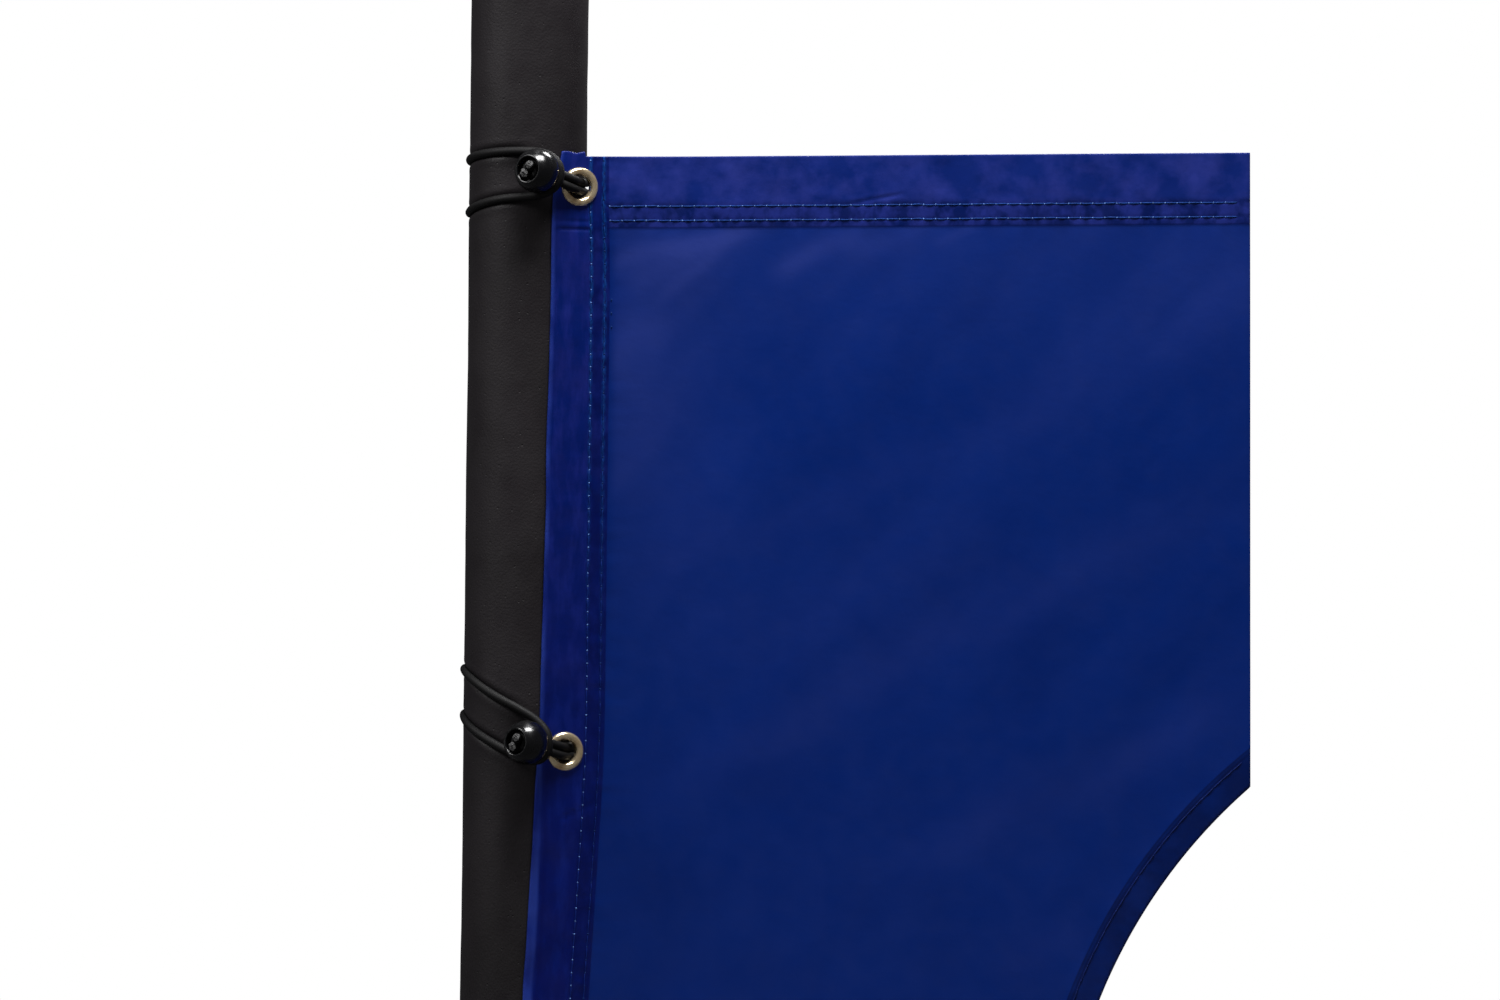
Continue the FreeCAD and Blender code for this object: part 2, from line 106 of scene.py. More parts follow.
CAMERA_DISTANCE, VIEW_WIDTH, CAMERA_ROLL = 6.0, 0.798, math.radians(0.65)

FOAM_LOW, FOAM_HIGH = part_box("foam_sleeve")
FOAM_RADIUS = (FOAM_HIGH.x - FOAM_LOW.x) / 2 / MM
FOAM_BASE, FOAM_TOP = FOAM_LOW.z / MM, FOAM_HIGH.z / MM
EYELETS = {name: sum(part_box("eyelet_" + name), Vector()) / 2 / MM for name in ("upper", "lower")}

# Each cord's route: (x, y, height) in the air, and on the sleeve the height at each of
# SLEEVE_ANGLES, which are degrees from the front. The neck, from the ball to the sleeve, has two
# heights: the way out and the way back. All heights are from the ball's centre.
SLEEVE_ANGLES = range(76, 333, 32)
SLEEVE_RADIUS, LAST_SLEEVE_RADIUS = 32.2, 32.4
TIES = {
    "upper": {
        "ball": (5.4, -45.2, 513.9),
        "turn": 33.0, "rise": 4.5, "roll": 34.0,
        "neck": [(12.2, -35.0, 1.4, -3.3), (21.0, -33.1, -2.4, -7.2), (26.7, -28.1, -4.7, -9.5),
                 (28.4, -20.7, -5.3, -10.1)],
        "rising": [-5.2, -4.4, -2.4, 0.0, 2.4, 4.4, 6.2, 8.8, 10.6],
        "bight": [(1.4, -33.8, 10.8), (11.0, -35.0, 9.6), (17.8, -37.6, 3.6), (17.8, -37.4, -5.4),
                  (11.2, -35.0, -11.8), (1.2, -33.6, -13.4)],
        "falling": [-14.6, -18.2, -22.2, -21.4, -19.4, -17.2, -14.8, -12.2, -10.4],
    },
    "lower": {
        "ball": (3.1, -46.6, 211.9),
        "turn": 38.0, "rise": 3.0, "roll": 26.0,
        "neck": [(11.0, -36.6, 1.7, -3.0), (16.8, -34.8, -0.5, -5.3), (22.4, -29.9, -2.4, -7.1),
                 (24.4, -22.5, -2.8, -7.6)],
        "rising": [-0.6, 6.4, 14.2, 22.4, 30.2, 36.6, 39.0, 33.6, 24.6],
        "bight": [(0.8, -34.2, 16.6), (9.6, -36.0, 11.0), (15.1, -38.6, 4.0), (15.1, -38.4, -5.2),
                  (9.4, -36.2, -10.6), (0.4, -33.9, -8.6)],
        "falling": [-0.8, 7.4, 14.6, 14.0, 10.2, 5.4, 0.6, -4.0, -7.0],
    },
}

# Each light's place, what it faces, its size in metres and its power in watts.
SUBJECT = (0.12, -0.01, 0.34)
LIGHTS = {
    "overhead": ((0.26, -0.42, 1.65), SUBJECT, (0.7, 0.5), 47.0),
    "top_back": ((0.55, 0.7, 1.55), SUBJECT, (0.6, 0.4), 22.0),
    "left": ((-1.1, -0.6, 1.45), (0.0, 0.0, 0.55), (0.5, 0.5), 20.0),
    "left_low": ((-2.2, -1.0, 0.7), SUBJECT, (0.6, 1.1), 4.0),
}


# ---- small helpers

def ramp(x, low, high):
    """0 below low, 1 above high, and a smooth ramp between them."""
    share = np.clip((x - low) / (high - low), 0.0, 1.0)
    return share * share * (3 - 2 * share)


def fall(x, low, high):
    """1 below low, 0 above high, and a smooth ramp between them."""
    return 1 - ramp(x, low, high)


def bump(x, centre, width):
    """A smooth hump of height 1."""
    return np.exp(-((x - centre) / width) ** 2)


def lattice(ix, iy, seed):
    """A repeatable value from 0 to 1 at each whole-number place."""
    mixed = (ix * 374761393 + iy * 668265263 + seed * 974634777) & 0xFFFFFFFF
    mixed = ((mixed ^ (mixed >> 13)) * 1274126177) & 0xFFFFFFFF
    return ((mixed ^ (mixed >> 16)) & 0xFFFF) / 65535.0


def noise(x, y, seed=0):
    """Smooth noise from -1 to 1, one cell per unit."""
    x, y = np.broadcast_arrays(np.asarray(x, float), np.asarray(y, float))
    ix, iy = np.floor(x).astype(np.int64), np.floor(y).astype(np.int64)
    fx, fy = x - ix, y - iy
    fx, fy = fx ** 3 * (fx * (6 * fx - 15) + 10), fy ** 3 * (fy * (6 * fy - 15) + 10)
    low = lattice(ix, iy, seed) * (1 - fx) + lattice(ix + 1, iy, seed) * fx
    high = lattice(ix, iy + 1, seed) * (1 - fx) + lattice(ix + 1, iy + 1, seed) * fx
    return (low * (1 - fy) + high * fy) * 2 - 1


def full_turn(sides):
    return np.arange(sides) * 2 * math.pi / sides


def unit(directions):
    return directions / np.maximum(np.linalg.norm(directions, axis=1, keepdims=True), 1e-9)


def add_object(name, data):
    """A new object in the scene that shows some data."""
    made = bpy.data.objects.new(name, data)
    bpy.context.scene.collection.objects.link(made)
    return made


def make_mesh(name, points, faces, materials, face_slots=None, uv=None):
    """A smooth-shaded object from points in millimetres. uv gives one pair per point."""
    mesh = bpy.data.meshes.new(name)
    mesh.from_pydata((np.asarray(points) * MM).tolist(), [], [tuple(f) for f in faces])
    for item in materials:
        mesh.materials.append(item)
    mesh.polygons.foreach_set("use_smooth", [True] * len(mesh.polygons))
    if face_slots is not None:
        mesh.polygons.foreach_set("material_index", list(face_slots))
    if uv is not None:
        corner = np.zeros(len(mesh.loops), np.int32)
        mesh.loops.foreach_get("vertex_index", corner)
        layer = mesh.uv_layers.new(name="run")
        layer.data.foreach_set("uv", np.asarray(uv, float)[corner].ravel())
    mesh.update()
    return add_object(name, mesh)


def add_value(piece, name, values):
    """A number on each point of a piece, for its material to read."""
    attribute = piece.data.attributes.new(name, "FLOAT", "POINT")
    attribute.data.foreach_set("value", np.asarray(values, np.float32))


# ---- materials

class Shader:
    """A material and short ways to add nodes to it."""

    def __init__(self, name, colour, roughness, metallic=0.0, shine=0.5):
        self.material = bpy.data.materials.new(name)
        self.material.use_nodes = True
        self.nodes = self.material.node_tree.nodes
        self.links = self.material.node_tree.links
        self.surface = self.nodes["Principled BSDF"]
        self.place = self.node("TexCoord").outputs["Object"]
        self.set("Base Color", (*colour, 1.0))
        self.set("Roughness", roughness)
        self.set("Metallic", metallic)
        self.set("Specular IOR Level", shine)

    def set(self, socket, value):
        self.feed(self.surface.inputs[socket], value)

    def node(self, kind, inputs=None, **settings):
        made = self.nodes.new("ShaderNode" + kind)
        for name, value in settings.items():
            setattr(made, name, value)
        for name, value in (inputs or {}).items():
            self.feed(made.inputs[name], value)
        return made

    def feed(self, socket, value):
        if isinstance(value, bpy.types.NodeSocket):
            self.links.new(value, socket)
        else:
            socket.default_value = value

    def run(self):
        return self.node("UVMap", uv_map="run").outputs["UV"]

    def stretch(self, vector, scale):
        return self.node("Mapping", {"Vector": vector, "Scale": scale}).outputs["Vector"]

    def grain(self, vector, scale, detail=3.0, roughness=0.5):
        inputs = {"Vector": vector, "Scale": scale, "Detail": detail, "Roughness": roughness}
        return self.node("TexNoise", inputs).outputs["Fac"]

    def cells(self, vector, scale, feature="F1"):
        inputs = {"Vector": vector, "Scale": scale}
        return self.node("TexVoronoi", inputs, feature=feature).outputs["Distance"]

    def between(self, value, low, high, to_low=0.0, to_high=1.0):
        inputs = {"Value": value, "From Min": low, "From Max": high,
                  "To Min": to_low, "To Max": to_high}
        return self.node("MapRange", inputs).outputs["Result"]

    def until(self, value, low, high):
        """1 up to low, falling to 0 at high."""
        return self.between(value, low, high, 1.0, 0.0)

    def maths(self, operation, a, b=0.0):
        return self.node("Math", {0: a, 1: b}, operation=operation).outputs["Value"]

    def mix(self, share, first, second):
        made = self.node("Mix", {0: share}, data_type="RGBA")
        for index, value in ((6, first), (7, second)):
            self.feed(made.inputs[index], (*value, 1.0) if isinstance(value, tuple) else value)
        return made.outputs[2]

    def over(self, colour, *layers):
        """A colour with others laid over it; each layer is (share, colour)."""
        for share, laid in layers:
            colour = self.mix(share, colour, laid)
        return colour

    def tint(self, share, first, second):
        self.set("Base Color", self.mix(share, first, second))

    def uneven(self, scale, detail, low, high):
        wander = self.grain(self.place, scale, detail)
        self.set("Roughness", self.between(wander, 0.3, 0.7, low, high))

    def relief(self, *layers):
        """Bumps one on another; each layer is (height, strength, distance in metres)."""
        normal = None
        for height, strength, distance in layers:
            inputs = {"Height": height, "Strength": strength, "Distance": distance}
            if normal is not None:
                inputs["Normal"] = normal
            normal = self.node("Bump", inputs).outputs["Normal"]
        self.set("Normal", normal)


def foam_material():
    """Closed-cell foam skin: satin black, pebbled, with scattered pits and scuffs."""
    s = Shader("foam_skin", (0.0105, 0.0095, 0.011), 0.55, shine=0.2)
    broad = s.grain(s.place, 14.0, 4.0)
    s.tint(s.between(broad, 0.35, 0.65), (0.0066, 0.0052, 0.0062), (0.0108, 0.0088, 0.0104))
    s.uneven(60.0, 5.0, 0.46, 0.64)
    pebble = s.cells(s.place, 900.0, "SMOOTH_F1")
    orange = s.grain(s.place, 420.0, 2.0)
    patches = s.between(s.grain(s.place, 22.0, 2.0), 0.42, 0.62)
    rough_patches = s.maths("MULTIPLY", orange, patches)
    pits = s.between(s.cells(s.place, 190.0), 0.0, 0.12)
    s.relief((pits, 0.5, 0.0005), (rough_patches, 0.2, 0.0004), (pebble, 0.35, 0.0003))
    return s.material


def sheet_material():
    """Blue coated fabric: painted highlight streaks on the single cloth, painted light and shade on
    its creases, folds and puckers, and each hem in its own dye.

    across and down are in metres from the side edge and from the top edge.
    """
    s = Shader("coated_blue", (0.001, 0.013, 0.115), 0.32, shine=0.16)
    run = s.run()
    across, down = (s.node("SeparateXYZ", {"Vector": run}).outputs[axis] for axis in "XY")

    def line(value, centre, half):
        """1 on a line in the fabric, falling to 0 at half a width either side of it."""
        off = s.maths("ABSOLUTE", s.maths("SUBTRACT", value, centre))
        return s.until(off, 0.0, half)

    def times(a, b):
        return s.maths("MULTIPLY", a, b)

    def drawn(wide, tall, detail, roughness=0.5):
        """Grain with so many cells to a metre across and down the fabric."""
        return s.grain(s.stretch(run, (wide, tall, 1.0)), 1.0, detail, roughness)

    # the single cloth: its tone wanders at random, with painted highlight streaks laid over it
    cloud = s.between(s.grain(s.place, 24.0, 4.0, 0.55), 0.3, 0.7)
    plain = s.mix(cloud, (0.0005, 0.0108, 0.102), (0.0009, 0.0128, 0.115))
    highlight_share = s.node("Attribute", attribute_name="painted_highlight").outputs["Fac"]
    plain = s.mix(highlight_share, plain, (0.0145, 0.0275, 0.162))
    # the side hem: darker low down and beside its rows, with a painted shade line across it in the
    # crease at the top hem's edge
    blotch = s.between(s.grain(s.place, 46.0, 4.0, 0.62), 0.42, 0.68)
    streaks = s.between(drawn(150.0, 38.0, 4.0, 0.6), 0.45, 0.7)
    high = s.mix(streaks, (0.0003, 0.0070, 0.088), (0.0060, 0.0125, 0.128))
    low = s.mix(streaks, (0.0001, 0.0034, 0.072), (0.0006, 0.0072, 0.104))
    side_hem = s.mix(s.between(down, 0.08, 0.42), high, low)
    patches = s.between(drawn(120.0, 75.0, 3.0, 0.6), 0.38, 0.62)
    behind_rows = times(s.between(across, 0.0225, 0.0250), s.between(patches, 0.0, 1.0, 0.85, 0.3))
    side_hem = s.over(
        side_hem,
        (times(blotch, s.between(down, 0.1, 0.35, 0.45, 0.12)), (0.0085, 0.0105, 0.098)),
        (times(line(down, TOP_HEM * MM, 0.0018), 0.55), (0.0002, 0.0025, 0.042)),
        (behind_rows, (0.0002, 0.0028, 0.052)))
    # the top hem: purple and blue patches, painted light and shade on the puckers between its rows,
    # and a painted shadow line along its inner edge
    top_hem = s.mix(blotch, (0.0020, 0.0105, 0.100), (0.0120, 0.0205, 0.148))
    tufts = s.between(drawn(92.0, 60.0, 3.0, 0.6), 0.42, 0.58)
    in_rows = times(s.between(down, 0.0225, 0.0260), s.until(down, 0.0372, 0.0384))
    pucker_light_and_shade = s.mix(tufts, (0.0003, 0.0042, 0.048), (0.0080, 0.0145, 0.118))
    top_hem = s.over(
        top_hem, (times(in_rows, 0.8), pucker_light_and_shade),
        (times(line(down, TOP_HEM * MM, 0.0012), 0.75), (0.0004, 0.0040, 0.052)))
    # the hole's hem: navy, with painted shade lines in the folds along its inner edge, and darker
    # right at the hole's edge
    centre = (HOLE[0] * MM, 0.0, HOLE[1] * MM)
    flat = s.stretch(s.place, (1.0, 0.0, 1.0))
    reach = s.node("VectorMath", {0: flat, 1: centre}, operation="DISTANCE").outputs["Value"]
    reach = s.maths("SUBTRACT", reach, HOLE[2] * MM)
    hole_hem = s.mix(blotch, (0.0001, 0.0056, 0.056), (0.0006, 0.0084, 0.078))
    folds = s.maths("ADD", line(reach, 0.0136, 0.0009), line(reach, 0.0158, 0.0008))
    edge = s.until(reach, 0.0, 0.0016)
    hole_hem = s.over(hole_hem, (times(folds, 0.55), (0.0002, 0.0020, 0.030)),
                      (times(edge, 0.7), (0.0001, 0.0012, 0.024)))
    colour = s.over(plain, (s.until(reach, 0.0157, 0.0163), hole_hem),
                    (s.until(down, 0.0376, 0.0384), top_hem),
                    (s.until(across, 0.0347, 0.0353), side_hem))
    # a painted highlight along the folded edge, patchy along its length, with a darker band beside
    # it low down
    patchy_edge_highlight = s.between(drawn(60.0, 24.0, 3.0), 0.4, 0.6, 0.15, 0.75)
    wide = s.between(down, 0.30, 0.40, 0.0, 0.0026)
    from_edge = s.maths("SUBTRACT", across, wide)
    beside = s.between(line(from_edge, 0.0040, 0.0024), 0.0, 1.0, 0.0, 0.7)
    folded = s.until(from_edge, 0.0006, 0.0022)
    colour = s.over(colour, (times(beside, s.between(down, 0.25, 0.38)), (0.0001, 0.0020, 0.058)),
                    (times(folded, patchy_edge_highlight), (0.0125, 0.0290, 0.190)))
    # lighter teal flecks beside the side rows, strongest near the top
    flecks = s.between(drawn(700.0, 260.0, 2.0), 0.4, 0.6)
    near_rows = s.maths("ADD", *(line(across, row * MM, 0.0016) for row in SIDE_ROWS))
    row_flecks = times(times(near_rows, flecks), s.until(down, 0.04, 0.30))
    s.tint(row_flecks, colour, (0.001, 0.042, 0.205))
    # the weave and the crinkles
    weave = s.stretch(run, (4200.0, 4200.0, 1.0))
    parts = s.node("SeparateXYZ", {"Vector": weave}).outputs
    warp = s.maths("SINE", times(parts["X"], math.pi))
    weft = s.maths("SINE", times(parts["Y"], math.pi))
    crinkle = s.grain(s.stretch(run, (60.0, 75.0, 1.0)), 2.2, 4.0, 0.62)
    s.uneven(95.0, 4.0, 0.28, 0.38)
    s.relief((crinkle, 0.18, 0.0008), (times(warp, weft), 0.1, 0.0001))
    return s.material


def thread_material(name, colour, darkens_low=False):
    """Twisted polyester sewing thread. With the option set, it gets darker lower down the sheet."""
    s = Shader(name, colour, 0.6, shine=0.1)
    tone = s.between(s.grain(s.place, 700.0, 2.0), 0.3, 0.7)
    darker = tuple(c * 0.6 for c in colour)
    height = s.node("SeparateXYZ", {"Vector": s.place}).outputs["Z"]
    # a darker, bluer colour for the thread lower down the sheet
    sunk = (colour[0] * 0.3, colour[1] * 0.3, colour[2] * 0.62)
    shown = s.mix(tone, darker, colour)
    if darkens_low:
        shown = s.mix(s.between(height, 0.26, 0.42), sunk, shown)
    s.set("Base Color", shown)
    s.relief((s.grain(s.place, 2600.0, 1.0), 0.4, 0.0001))
    return s.material


def brass_material():
    """Polished stamped brass with fine scratches and a little tarnish."""
    s = Shader("brass", (0.82, 0.62, 0.36), 0.2, 0.87)
    tarnish = s.between(s.grain(s.place, 160.0, 4.0), 0.42, 0.72)
    s.tint(tarnish, (0.95, 0.78, 0.52), (0.62, 0.40, 0.20))
    s.uneven(380.0, 4.0, 0.11, 0.26)
    scratches = s.grain(s.stretch(s.place, (900.0, 900.0, 5200.0)), 1.0, 2.0)
    s.relief((s.grain(s.place, 260.0, 2.0), 0.12, 0.0004), (scratches, 0.06, 0.0001))
    return s.material


def ball_material():
    """Black moulded plastic, satin where it has been handled."""
    s = Shader("ball_plastic", (0.0016, 0.0016, 0.0020), 0.2, shine=0.42)
    s.set("Roughness", s.between(s.grain(s.place, 210.0, 5.0, 0.65), 0.35, 0.75, 0.15, 0.34))
    dents, sheen = s.grain(s.place, 190.0, 2.0), s.grain(s.place, 1500.0, 2.0)
    s.relief((dents, 0.14, 0.0006), (sheen, 0.05, 0.0001))
    return s.material


def cord_material():
    """Woven jacket of an elastic cord: dull black with a slight fibre sheen, and painted shade in
    the braid's grooves.
    """
    s = Shader("cord_jacket", (0.004, 0.004, 0.0043), 0.55, shine=0.16)
    run = s.run()
    high = s.node("Attribute", attribute_name="strand").outputs["Fac"]
    # painted shade: the braid's grooves darker and its raised strands lighter
    s.tint(high, (0.0003, 0.0003, 0.0004), (0.0040, 0.0038, 0.0042))
    fibres = s.grain(s.stretch(run, (2600.0, 2.4, 1.0)), 1.0, 2.0)
    s.set("Roughness", s.between(fibres, 0.3, 0.7, 0.5, 0.74))
    s.relief((fibres, 0.35, 0.0001))
    return s.material


def core_material():
    """Cut rubber strands at a cord's end, with painted shade in the gaps between them."""
    s = Shader("cord_core", (0.09, 0.088, 0.084), 0.7)
    strands = s.between(s.cells(s.place, 1900.0), 0.15, 0.5)
    # painted shade: the strands lighter at their middles and darker in the gaps between them
    s.tint(strands, (0.12, 0.118, 0.115), (0.03, 0.03, 0.031))
    s.relief((strands, 0.6, 0.0003))
    return s.material


def steel_material():
    """Galvanised tube: dull zinc with spangle and fine drawing lines."""
    s = Shader("zinc_tube", (0.55, 0.56, 0.58), 0.4, 0.92)
    spangle = s.between(s.cells(s.place, 120.0), 0.1, 0.8)
    s.tint(spangle, (0.42, 0.43, 0.45), (0.62, 0.63, 0.65))
    s.uneven(90.0, 4.0, 0.3, 0.55)
    lines = s.grain(s.stretch(s.place, (1600.0, 1600.0, 30.0)), 1.0, 2.0)
    s.relief((lines, 0.12, 0.0001))
    return s.material


def cap_material():
    """Moulded black plastic with a spark-eroded texture."""
    s = Shader("cap_plastic", (0.014, 0.014, 0.015), 0.5)
    s.uneven(45.0, 4.0, 0.42, 0.6)
    s.relief((s.grain(s.place, 1400.0, 2.0), 0.3, 0.0002))
    return s.material


def floor_material():
    """Pale board that fades into the white backdrop at its rim."""
    s = Shader("pale_floor", (0.4, 0.4, 0.4), 0.8, shine=0.2)
    s.tint(s.grain(s.place, 3.0, 3.0), (0.38, 0.38, 0.38), (0.41, 0.41, 0.41))
    away = s.node("VectorMath", {0: s.place}, operation="LENGTH").outputs["Value"]
    s.set("Emission Strength", s.between(away, 0.6, FLOOR_RADIUS))
    s.set("Emission Color", (1.0, 1.0, 1.0, 1.0))
    return s.material


# ---- the sheet's run

def facet_reach():
    """How far the flat that lies against the foam is from the post's axis."""
    return FOAM_RADIUS + FOAM_TO_HEM + HEM + FABRIC / 2


def run_turn(x):
    """How far the sheet's front normal is turned towards +X at a given x."""
    width = BEND_RADIUS * math.sin(FACET_TURN)
    across = np.clip((FACET_END + width - x) / BEND_RADIUS, 0.0, math.sin(FACET_TURN))
    return np.arcsin(across)


def run_y(x):
    """The y of the sheet's middle surface at a given x."""
    reach = facet_reach()
    contact_x, contact_y = reach * math.sin(FACET_TURN), -reach * math.cos(FACET_TURN)
    slope = math.tan(FACET_TURN)
    end_y = contact_y + (FACET_END - contact_x) * slope
    flat_y = end_y + BEND_RADIUS * (1 - math.cos(FACET_TURN))
    bend_y = flat_y - BEND_RADIUS * (1 - np.cos(run_turn(x)))
    return np.where(x < FACET_END, contact_y + (x - contact_x) * slope, bend_y)


def ear(s):
    """How far the corner of the side hem stands above the top hem."""
    lift = 2.5 - 0.8 * bump(s, 12.5, 4.0) + 0.3 * bump(s, 3.0, 3.0)
    return lift * fall(s, 19.2, 20.2)


def below(knee, z):
    """How far a height is below a knee, with the knee softened."""
    soft = 12.0
    return soft * np.log1p(np.exp(np.clip((knee - z) / soft, -40.0, 40.0)))


def side_edge(z):
    """The x of the sheet's side edge."""
    pulled = 4.3 * ramp(z, 501.0, 531.0) + 0.5 * noise(z / 37.0, 0.5, 61)
    bend = (SIDE_SLOPE_LOW - SIDE_SLOPE) * below(SIDE_KNEE, z)
    return CORNER_X + RIM - SIDE_SLOPE * (CORNER_Z - z) - bend + pulled


def side_seam(z):
    """The x of the side hem's first row of stitches."""
    return SEAM_X - SEAM_SLOPE_LOW * below(SEAM_KNEE, z) - 1.1 * ramp(z, 455.0, 505.0)


# Up to these distances the hems keep their width; S_FULL and T_FULL are the sheet's full size.
S_HEM, T_HEM = 42.0, 44.0
S_FULL = (CUT_RIGHT - CORNER_X) / math.cos(FACET_TURN)
T_FULL = CORNER_Z - CUT_BOTTOM


def sheet_place(s, t):
    """x and z at a distance s along from the side edge and t down from the top edge."""
    s, t = np.broadcast_arrays(np.asarray(s, float), np.asarray(t, float))
    cosine = math.cos(FACET_TURN)
    z = CORNER_Z - t
    for _ in range(4):
        edge, seam = side_edge(z), side_seam(z)
        width = CUT_RIGHT + CUT_RIGHT_SLOPE * (CORNER_Z - z) - seam
        beyond = S_HEM - SIDE_ROWS[0]
        scale = (width - beyond * cosine) / (S_FULL - S_HEM)
        margin = edge + (seam - edge) * s / SIDE_ROWS[0]
        panel = seam + np.minimum(s - SIDE_ROWS[0], beyond) * cosine
        panel = panel + np.maximum(s - S_HEM, 0.0) * scale
        x = np.where(s < SIDE_ROWS[0], margin, panel)
        top = CORNER_Z - TOP_SAG + TOP_SLOPE * (x - CORNER_X) + ear(s) * np.exp(-t / 9.0)
        drop = (top - T_HEM - CUT_BOTTOM) / (T_FULL - T_HEM)
        z = np.where(t < T_HEM, top - t, top - T_HEM - (t - T_HEM) * drop)
    return x, z


def hole_gap(x, z):
    """The distance outside the hole's edge."""
    return np.hypot(x - HOLE[0], z - HOLE[1]) - HOLE[2]


def eyelet_gap(x, z):
    """The distance along the sheet from the nearest eyelet's centre."""
    cosine = math.cos(FACET_TURN)
    return np.minimum.reduce([
        np.hypot((x - e.x) / cosine, z - e.z) for e in EYELETS.values()])


def doubled(s, t, x, z):
    """1 where a hem lies behind the sheet and 0 elsewhere."""
    side = fall(s, SIDE_HEM - 0.5, SIDE_HEM + 0.5)
    top = fall(t, TOP_HEM - 0.5, TOP_HEM + 0.5)
    hole = fall(hole_gap(x, z), HOLE_HEM - 0.5, HOLE_HEM + 0.5)
    return 1 - (1 - side) * (1 - top) * (1 - hole)


# Creases: four x's where each one comes and goes, its height at the first one, its slope, its
# depth and its half width.
CREASES = [
    (18.0, 24.0, 37.0, 42.0, 169.138, 0.49, 0.6, 0.9),
    (166.0, 176.0, 192.0, 203.0, 498.2, 0.2, 0.45, 1.1),
]


def fading(distance, reach):
    return np.exp(-np.maximum(distance, 0) / reach)


def row_groove(across, along, depth):
    """The pucker that a row of stitches pulls into the fabric."""
    pulled = 0.55 + 0.45 * np.cos(2 * math.pi * along / STITCH)
    pulled = pulled * (0.75 + 0.45 * noise(along / 9.0, depth * 40.0, 79))
    return -depth * bump(across, 0.0, 0.9) * pulled


def sheet_height(s, t, x, z):
    """How far the fabric's front stands off its smooth run, in millimetres."""
    hem = doubled(s, t, x, z)
    hole = hole_gap(x, z)
    calm = ramp(eyelet_gap(x, z), 11.5, 19.0)
    out = 0.22 * (hem - 1.0)
    # stitch rows
    for row in SIDE_ROWS:
        out += row_groove(s - row, t, 0.42)
    for row in TOP_ROWS:
        out += row_groove(t - row, s, 0.36) * ramp(s, SIDE_ROWS[1], SIDE_ROWS[1] + 2.0)
    around = np.arctan2(z - HOLE[1], HOLE[0] - x) * (HOLE[2] + HOLE_ROW)
    out += row_groove(hole - HOLE_ROW, around, 0.36)
    # short ripples that run out from the rows
    side_fade = fading(s - SIDE_ROWS[1], 9.0) * ramp(s, 22.0, 32.0)
    out += 0.26 * side_fade * noise(s / 14.0, z / 4.2, 3)
    top_fade = fading(t - TOP_ROWS[1], 8.0) * ramp(t, 24.0, 33.0)
    out += 0.28 * top_fade * noise(x / 5.0, t / 12.0, 5)
    out += 0.12 * fading(hole - HOLE_ROW, 7.0) * noise(around / 4.2, hole / 12.0, 7)
    # the crumpled look of the doubled margins
    margin = fall(s, 20.0, 28.0) + fall(t, 20.0, 28.0)
    margin = np.clip(margin, 0.0, 1.0)
    out += 0.30 * margin * noise(x / 13.0 + z / 40.0, z / 17.0 - x / 30.0, 11)
    out += 0.14 * margin * noise(x / 6.5, z / 7.5, 13)
    # wide soft folds, mostly from lower left to upper right
    fold = (x - 0.95 * z) / 95.0
    body = ramp(s, 30.0, 90.0)
    out += body * (0.9 * noise(fold, (x + z) / 420.0, 17) + 0.35 * noise(fold * 2.3, z / 260.0, 19))
    out += 0.1 * ramp(s, 36.0, 60.0) * noise(x / 24.0, z / 60.0, 23)
    # old fold lines across the side margin, and a crease low on it
    across_margin = ramp(s, 2.0, 6.0) * fall(s, 22.0, 25.0)
    for row, deep in ((TOP_ROWS[0], 0.25), (TOP_ROWS[1], 0.3), (TOP_HEM, 0.45)):
        out -= deep * across_margin * bump(t, row + 0.03 * s, 0.8)
    for x0, x1, x2, x3, low, slope, deep, wide in CREASES:
        held = ramp(x, x0, x1) * fall(x, x2, x3)
        out -= deep * held * bump(z, low + slope * (x - x0), wide)
    # the side edge rolls back towards the foam, more where it hangs free below
    roll_width = 2.2 + 3.6 * ramp(-z, -200.0, -80.0)
    roll_depth = 0.28 + 0.9 * ramp(-z, -190.0, -70.0)
    out -= roll_depth * np.clip(1 - s / roll_width, 0.0, 1.0) ** 2
    return out * calm


def off_run(x, z, out):
    """The point at a distance out from the sheet's smooth run."""
    turn = run_turn(x)
    return np.stack([x + np.sin(turn) * out, run_y(x) - np.cos(turn) * out, z], -1)


def sheet_point(s, t, lift):
    """A point above the sheet's front by lift."""
    x, z = sheet_place(s, t)
    return off_run(x, z, FABRIC / 2 + sheet_height(s, t, x, z) + lift)


def spaced_lines(fine_to, fine_step, full, step):
    """Grid lines that are close together at the hem and wider beyond it."""
    fine = np.arange(0.0, fine_to, fine_step)
    wide = np.linspace(fine_to, full, max(2, round((full - fine_to) / step)))
    return np.concatenate([fine, wide])


